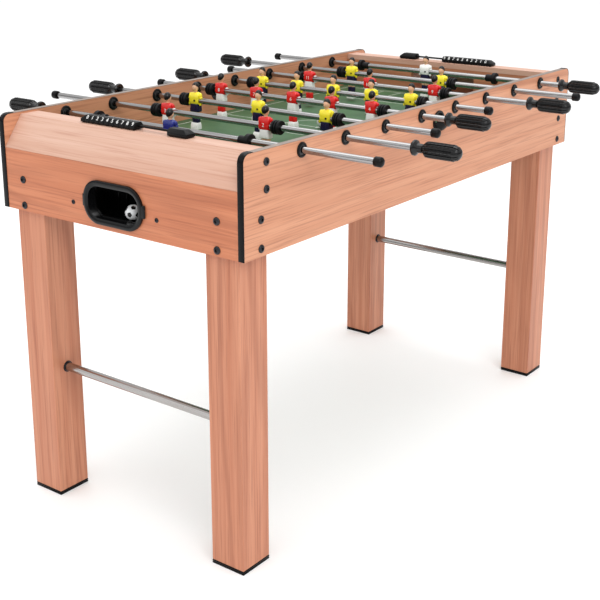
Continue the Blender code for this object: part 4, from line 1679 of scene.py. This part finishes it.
@dataclass
class Scorer(Assembly):
    """A wire with numbered beads between two end blocks."""

    end: str
    beads: int = 10
    pitch: float = 0.0128
    half: float = 0.012
    rise: float = 0.014
    shoulder: float = 0.5
    crown: float = 0.55
    clear: float = 0.0012
    wire_height: float = 0.007
    wire_radius: float = 0.0022
    wire_sunk: float = 0.004
    collar_radius: float = 0.0036
    short_block: float = 0.010
    long_block: float = 0.045
    toe: float = 0.009
    foot_rise: float = 0.003
    bead_gap: float = 0.0008
    slope: float = 52.3
    digit_size: float = 0.0105
    digit_depth: float = 0.0006
    digit_out: float = 0.0093

    def build(self) -> None:
        """Models the rail and its beads for one end."""
        rail = f"score_rail_{self.end}"
        row = f"score_beads_{self.end}"
        low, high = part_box(rail)
        bead_low, bead_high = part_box(row)
        x, base = (low.x + high.x) / 2, low.z
        side = -1 if self.end == "near" else 1
        self.rail(rail, x, base, low.y, high.y)
        self.row(row, x, base, bead_low.y, side)

    def profile(self, name: str, y0: float, y1: float) -> Piece:
        """A bead or block with sloping shoulders between two places along Y.

        Args:
            name: The piece's name.
            y0: Where it starts.
            y1: Where it ends.

        Returns:
            The piece, standing on z = 0 about x = 0.
        """
        middle, half = (y0 + y1) / 2, (y1 - y0) / 2
        levels = (
            (self.clear, 0.0, self.half, half),
            (self.shoulder * self.rise, 0.0, self.half, half),
            (self.rise, 0.0, self.crown * self.half, half),
        )
        return placed(stacked(name, levels), (0.0, middle, 0.0))

    def rail(self, node: str, x: float, base: float, y0: float, y1: float) -> None:
        """The wire and its end blocks.

        Args:
            node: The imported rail.
            x: The wire's place along X.
            base: The ledge's top.
            y0: One end.
            y1: The other end.
        """
        up, sunk = self.wire_height, self.wire_sunk
        wire = bar("wire", (0.0, y0 + sunk, up), (0.0, y1 - sunk, up), self.wire_radius, 16)
        lengths = (self.long_block, self.short_block)
        first, last = lengths if self.end == "near" else lengths[::-1]
        ends = ((y0, y0 + first), (y1 - last, y1))
        blocks = []
        for number, (a, b) in enumerate(ends):
            part = self.profile("block", a, b)
            outer = a if number == 0 else b
            with editing(part) as bm:
                pick_edges(
                    part,
                    bm,
                    lambda spot, way, o=outer: abs(spot.y - o) < 1e-5 and spot.z > 0.9 * self.rise,
                )
                run = min(self.toe, 0.9 * (b - a)) * (1 if number == 0 else -1)
                bpy.ops.transform.translate(value=(0.0, run, 0.0))
            blocks.append(bevelled(part, 0.0007, 2))
        for a, b in ends:
            wide = 0.8 * self.half
            plate = block("foot", (-wide, a + 0.001, 0.0), (wide, b - 0.001, self.foot_rise))
            blocks.append(bevelled(plate, 0.0006, 2))
            inner, run = (b, sunk) if a < 0.0 else (a, -sunk)
            start, stop = (0.0, inner - run, up), (0.0, inner + run, up)
            blocks.append(bar("collar", start, stop, self.collar_radius, 20))
        piece = placed(joined(f"scorer_{self.end}", [wire, *blocks]), (x, 0.0, base))
        self.keep(self.finishes.put(piece, "black"), "cabinet", "black_plastic", node)

    def row(self, node: str, x: float, base: float, start: float, side: int) -> None:
        """The beads, each with its number.

        Args:
            node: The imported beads.
            x: The wire's place along X.
            base: The ledge's top.
            start: The row's lowest Y.
            side: Which way the numbers face along X.
        """
        parts = []
        for number in range(self.beads):
            a = start + number * self.pitch + self.bead_gap / 2
            part = bevelled(self.profile("bead", a, a + self.pitch - self.bead_gap), 0.0007, 2)
            parts.append(self.finishes.put(part, "black"))
            order = number if side > 0 else self.beads - 1 - number
            for way in (-1, 1):
                label = lettered("digit", str(order), self.digit_size, self.digit_depth)
                middle = a + self.pitch / 2 - self.bead_gap / 2
                spot = (way * self.digit_out, middle, 0.75 * self.rise)
                placed(label, spot, (self.slope, 0.0, 90.0 * way))
                parts.append(self.finishes.put(label, "white"))
        piece = placed(joined(f"beads_{self.end}", parts), (x, 0.0, base))
        self.keep(piece, f"beads_{self.end}", "black_plastic", node)


@dataclass
class FootBall(Assembly):
    """A ball of twelve dark and twenty white panels."""

    name: str
    place: Point
    radius: float = 0.0145
    turn: Point = (20.0, 35.0, 10.0)
    seam: float = 0.00035

    def build(self) -> None:
        """Models the ball from a twenty-sided solid and sets it in place."""
        deselect_all()
        bpy.ops.mesh.primitive_ico_sphere_add(subdivisions=1, radius=self.radius)
        piece = named(self.name)
        self.finishes.put(piece, "ball", "hair")
        with editing(piece):
            bpy.ops.mesh.select_mode(type="VERT")
            bpy.ops.mesh.select_all(action="SELECT")
            bpy.ops.mesh.bevel(offset_type="PERCENT", offset_pct=33.0, affect="VERTICES")
        for face in piece.data.polygons:
            face.material_index = 1 if len(face.vertices) == 5 else 0
        with editing(piece):
            bpy.ops.mesh.select_all(action="SELECT")
            bpy.ops.mesh.inset(thickness=self.seam, use_individual=True)
            bpy.ops.mesh.poke()
            bpy.ops.mesh.select_all(action="SELECT")
            bpy.ops.mesh.subdivide(number_cuts=3)
            bpy.ops.mesh.select_all(action="SELECT")
            bpy.ops.transform.tosphere(value=1.0)
        scale = self.radius / max(vert.co.length for vert in piece.data.vertices)
        piece.data.transform(Matrix.Scale(scale, 4))
        placed(piece, self.place, self.turn)
        self.keep(piece, "cabinet", "ball", angle=60.0)


# ---- the room --------------------------------------------------------------------------------


@dataclass
class Studio:
    """A plain pale floor, soft light and the camera."""

    floor_size: float = 30.0
    eye: Point = (-1.9855, -1.4536, 1.1700)
    heading: float = 37.088
    tilt: float = -15.73
    focal: float = 69.27
    shift: float = -0.13
    glow: float = 0.13
    horizon: float = 0.42
    zenith: float = 1.06

    def build(self) -> None:
        """Sets up the floor, the lights and the camera."""
        self.floor()
        self.world()
        self.lamp("key", (-3.7, -5.0, 5.4), (0.0, 0.0, 0.6), 4.2, 205.0)
        self.lamp("fill", (-3.4, 1.6, 2.6), (0.0, 0.0, 0.5), 3.0, 10.0)
        self.lamp("top", (0.4, 0.2, 3.8), (0.0, 0.0, 0.7), 3.2, 60.0)
        self.camera()

    def floor(self) -> None:
        """The pale floor."""
        deselect_all()
        bpy.ops.mesh.primitive_plane_add(size=self.floor_size, location=(0.0, 0.0, 0.0))
        piece = named("studio_floor")
        graph = Graph("pale floor")
        cloud = graph.noise(EVEN, 3.0, 2.0)
        graph.surface(
            Base_Color=graph.blend(cloud, (0.90, 0.90, 0.90), (0.91, 0.91, 0.91)),
            Roughness=0.6,
            Specular_IOR_Level=0.2,
            Emission_Color=(1.0, 1.0, 1.0, 1.0),
            Emission_Strength=self.glow,
        )
        piece.data.materials.append(graph.material)

    def world(self) -> None:
        """White light from above that fades towards the horizon."""
        world = bpy.data.worlds.new("studio light")
        world.use_nodes = True
        tree = world.node_tree
        way = tree.nodes.new("ShaderNodeTexCoord")
        split = tree.nodes.new("ShaderNodeSeparateXYZ")
        ramp = tree.nodes.new("ShaderNodeMapRange")
        limits = {"From Min": 0.10, "From Max": 0.45, "To Min": self.horizon, "To Max": self.zenith}
        for key, value in limits.items():
            ramp.inputs[key].default_value = value
        tree.links.new(way.outputs["Generated"], split.inputs[0])
        tree.links.new(split.outputs[2], ramp.inputs["Value"])
        tree.links.new(ramp.outputs[0], tree.nodes["Background"].inputs["Strength"])
        tree.nodes["Background"].inputs["Color"].default_value = (1.0, 1.0, 1.0, 1.0)
        bpy.context.scene.world = world
        bpy.context.scene.view_settings.view_transform = "Standard"

    def lamp(self, name: str, place: Point, target: Point, size: float, power: float) -> None:
        """A square soft box aimed at a point.

        Args:
            name: The lamp's name.
            place: Where it stands.
            target: What it is aimed at.
            size: Its side.
            power: Its power in watts.
        """
        data = bpy.data.lights.new(name, "AREA")
        data.energy = power
        data.size = size
        lamp = bpy.data.objects.new(name, data)
        lamp.location = place
        lamp.rotation_euler = (Vector(target) - Vector(place)).to_track_quat("-Z", "Y").to_euler()
        bpy.context.scene.collection.objects.link(lamp)

    def camera(self) -> None:
        """The camera, standing at the near corner."""
        data = bpy.data.cameras.new("camera")
        data.lens = self.focal
        data.sensor_width = 36.0
        data.shift_y = self.shift
        data.clip_end = 100.0
        camera = bpy.data.objects.new("camera", data)
        camera.location = self.eye
        angles = (90.0 + self.tilt, 0.0, self.heading - 90.0)
        camera.rotation_euler = [math.radians(angle) for angle in angles]
        bpy.context.scene.collection.objects.link(camera)
        bpy.context.scene.camera = camera


RODS = (
    (1, Kit.BLUE, 1, 0.0035),
    (2, Kit.RED, -1, 0.0070),
    (3, Kit.YELLOW, 1, 0.0050),
    (5, Kit.RED, -1, 0.0165),
    (5, Kit.YELLOW, 1, 0.0050),
    (3, Kit.RED, -1, -0.0040),
    (2, Kit.YELLOW, 1, 0.0100),
    (1, Kit.WHITE, -1, 0.0050),
)
SPACING = {1: 0.0, 2: 0.2500, 3: 0.1700, 5: 0.0999}


def main() -> None:
    """Builds every sub-assembly in order."""
    logging.basicConfig(level=logging.INFO, format="%(message)s")
    finishes = Finishes()
    Cabinet(finishes).build()
    Stand(finishes).build()
    for end in ("near", "far"):
        BallReturn(finishes, end).build()
        Scorer(finishes, end).build()
    for side in ("front", "rear"):
        ServingCup(finishes, side).build()
    patterns = {kit: FigurePattern(finishes, kit).build() for kit in Kit}
    shirt = 2
    for number, (figures, kit, handle, rest) in enumerate(RODS, 1):
        pattern, spacing = patterns[kit], SPACING[figures]
        PlayingRod(
            finishes, number, figures, kit, handle, rest, pattern, spacing, shirt
        ).build()
        shirt += figures if kit is Kit.RED else 0
    for pattern in patterns.values():
        bpy.data.objects.remove(pattern, do_unlink=True)
    FootBall(finishes, "field_ball", (0.0, -0.0160, 0.7048)).build()
    FootBall(finishes, "spare_ball", (-0.5800, -0.0180, 0.6280), turn=(60.0, 10.0, 40.0)).build()
    Studio().build()


if __name__ == "__main__":
    main()
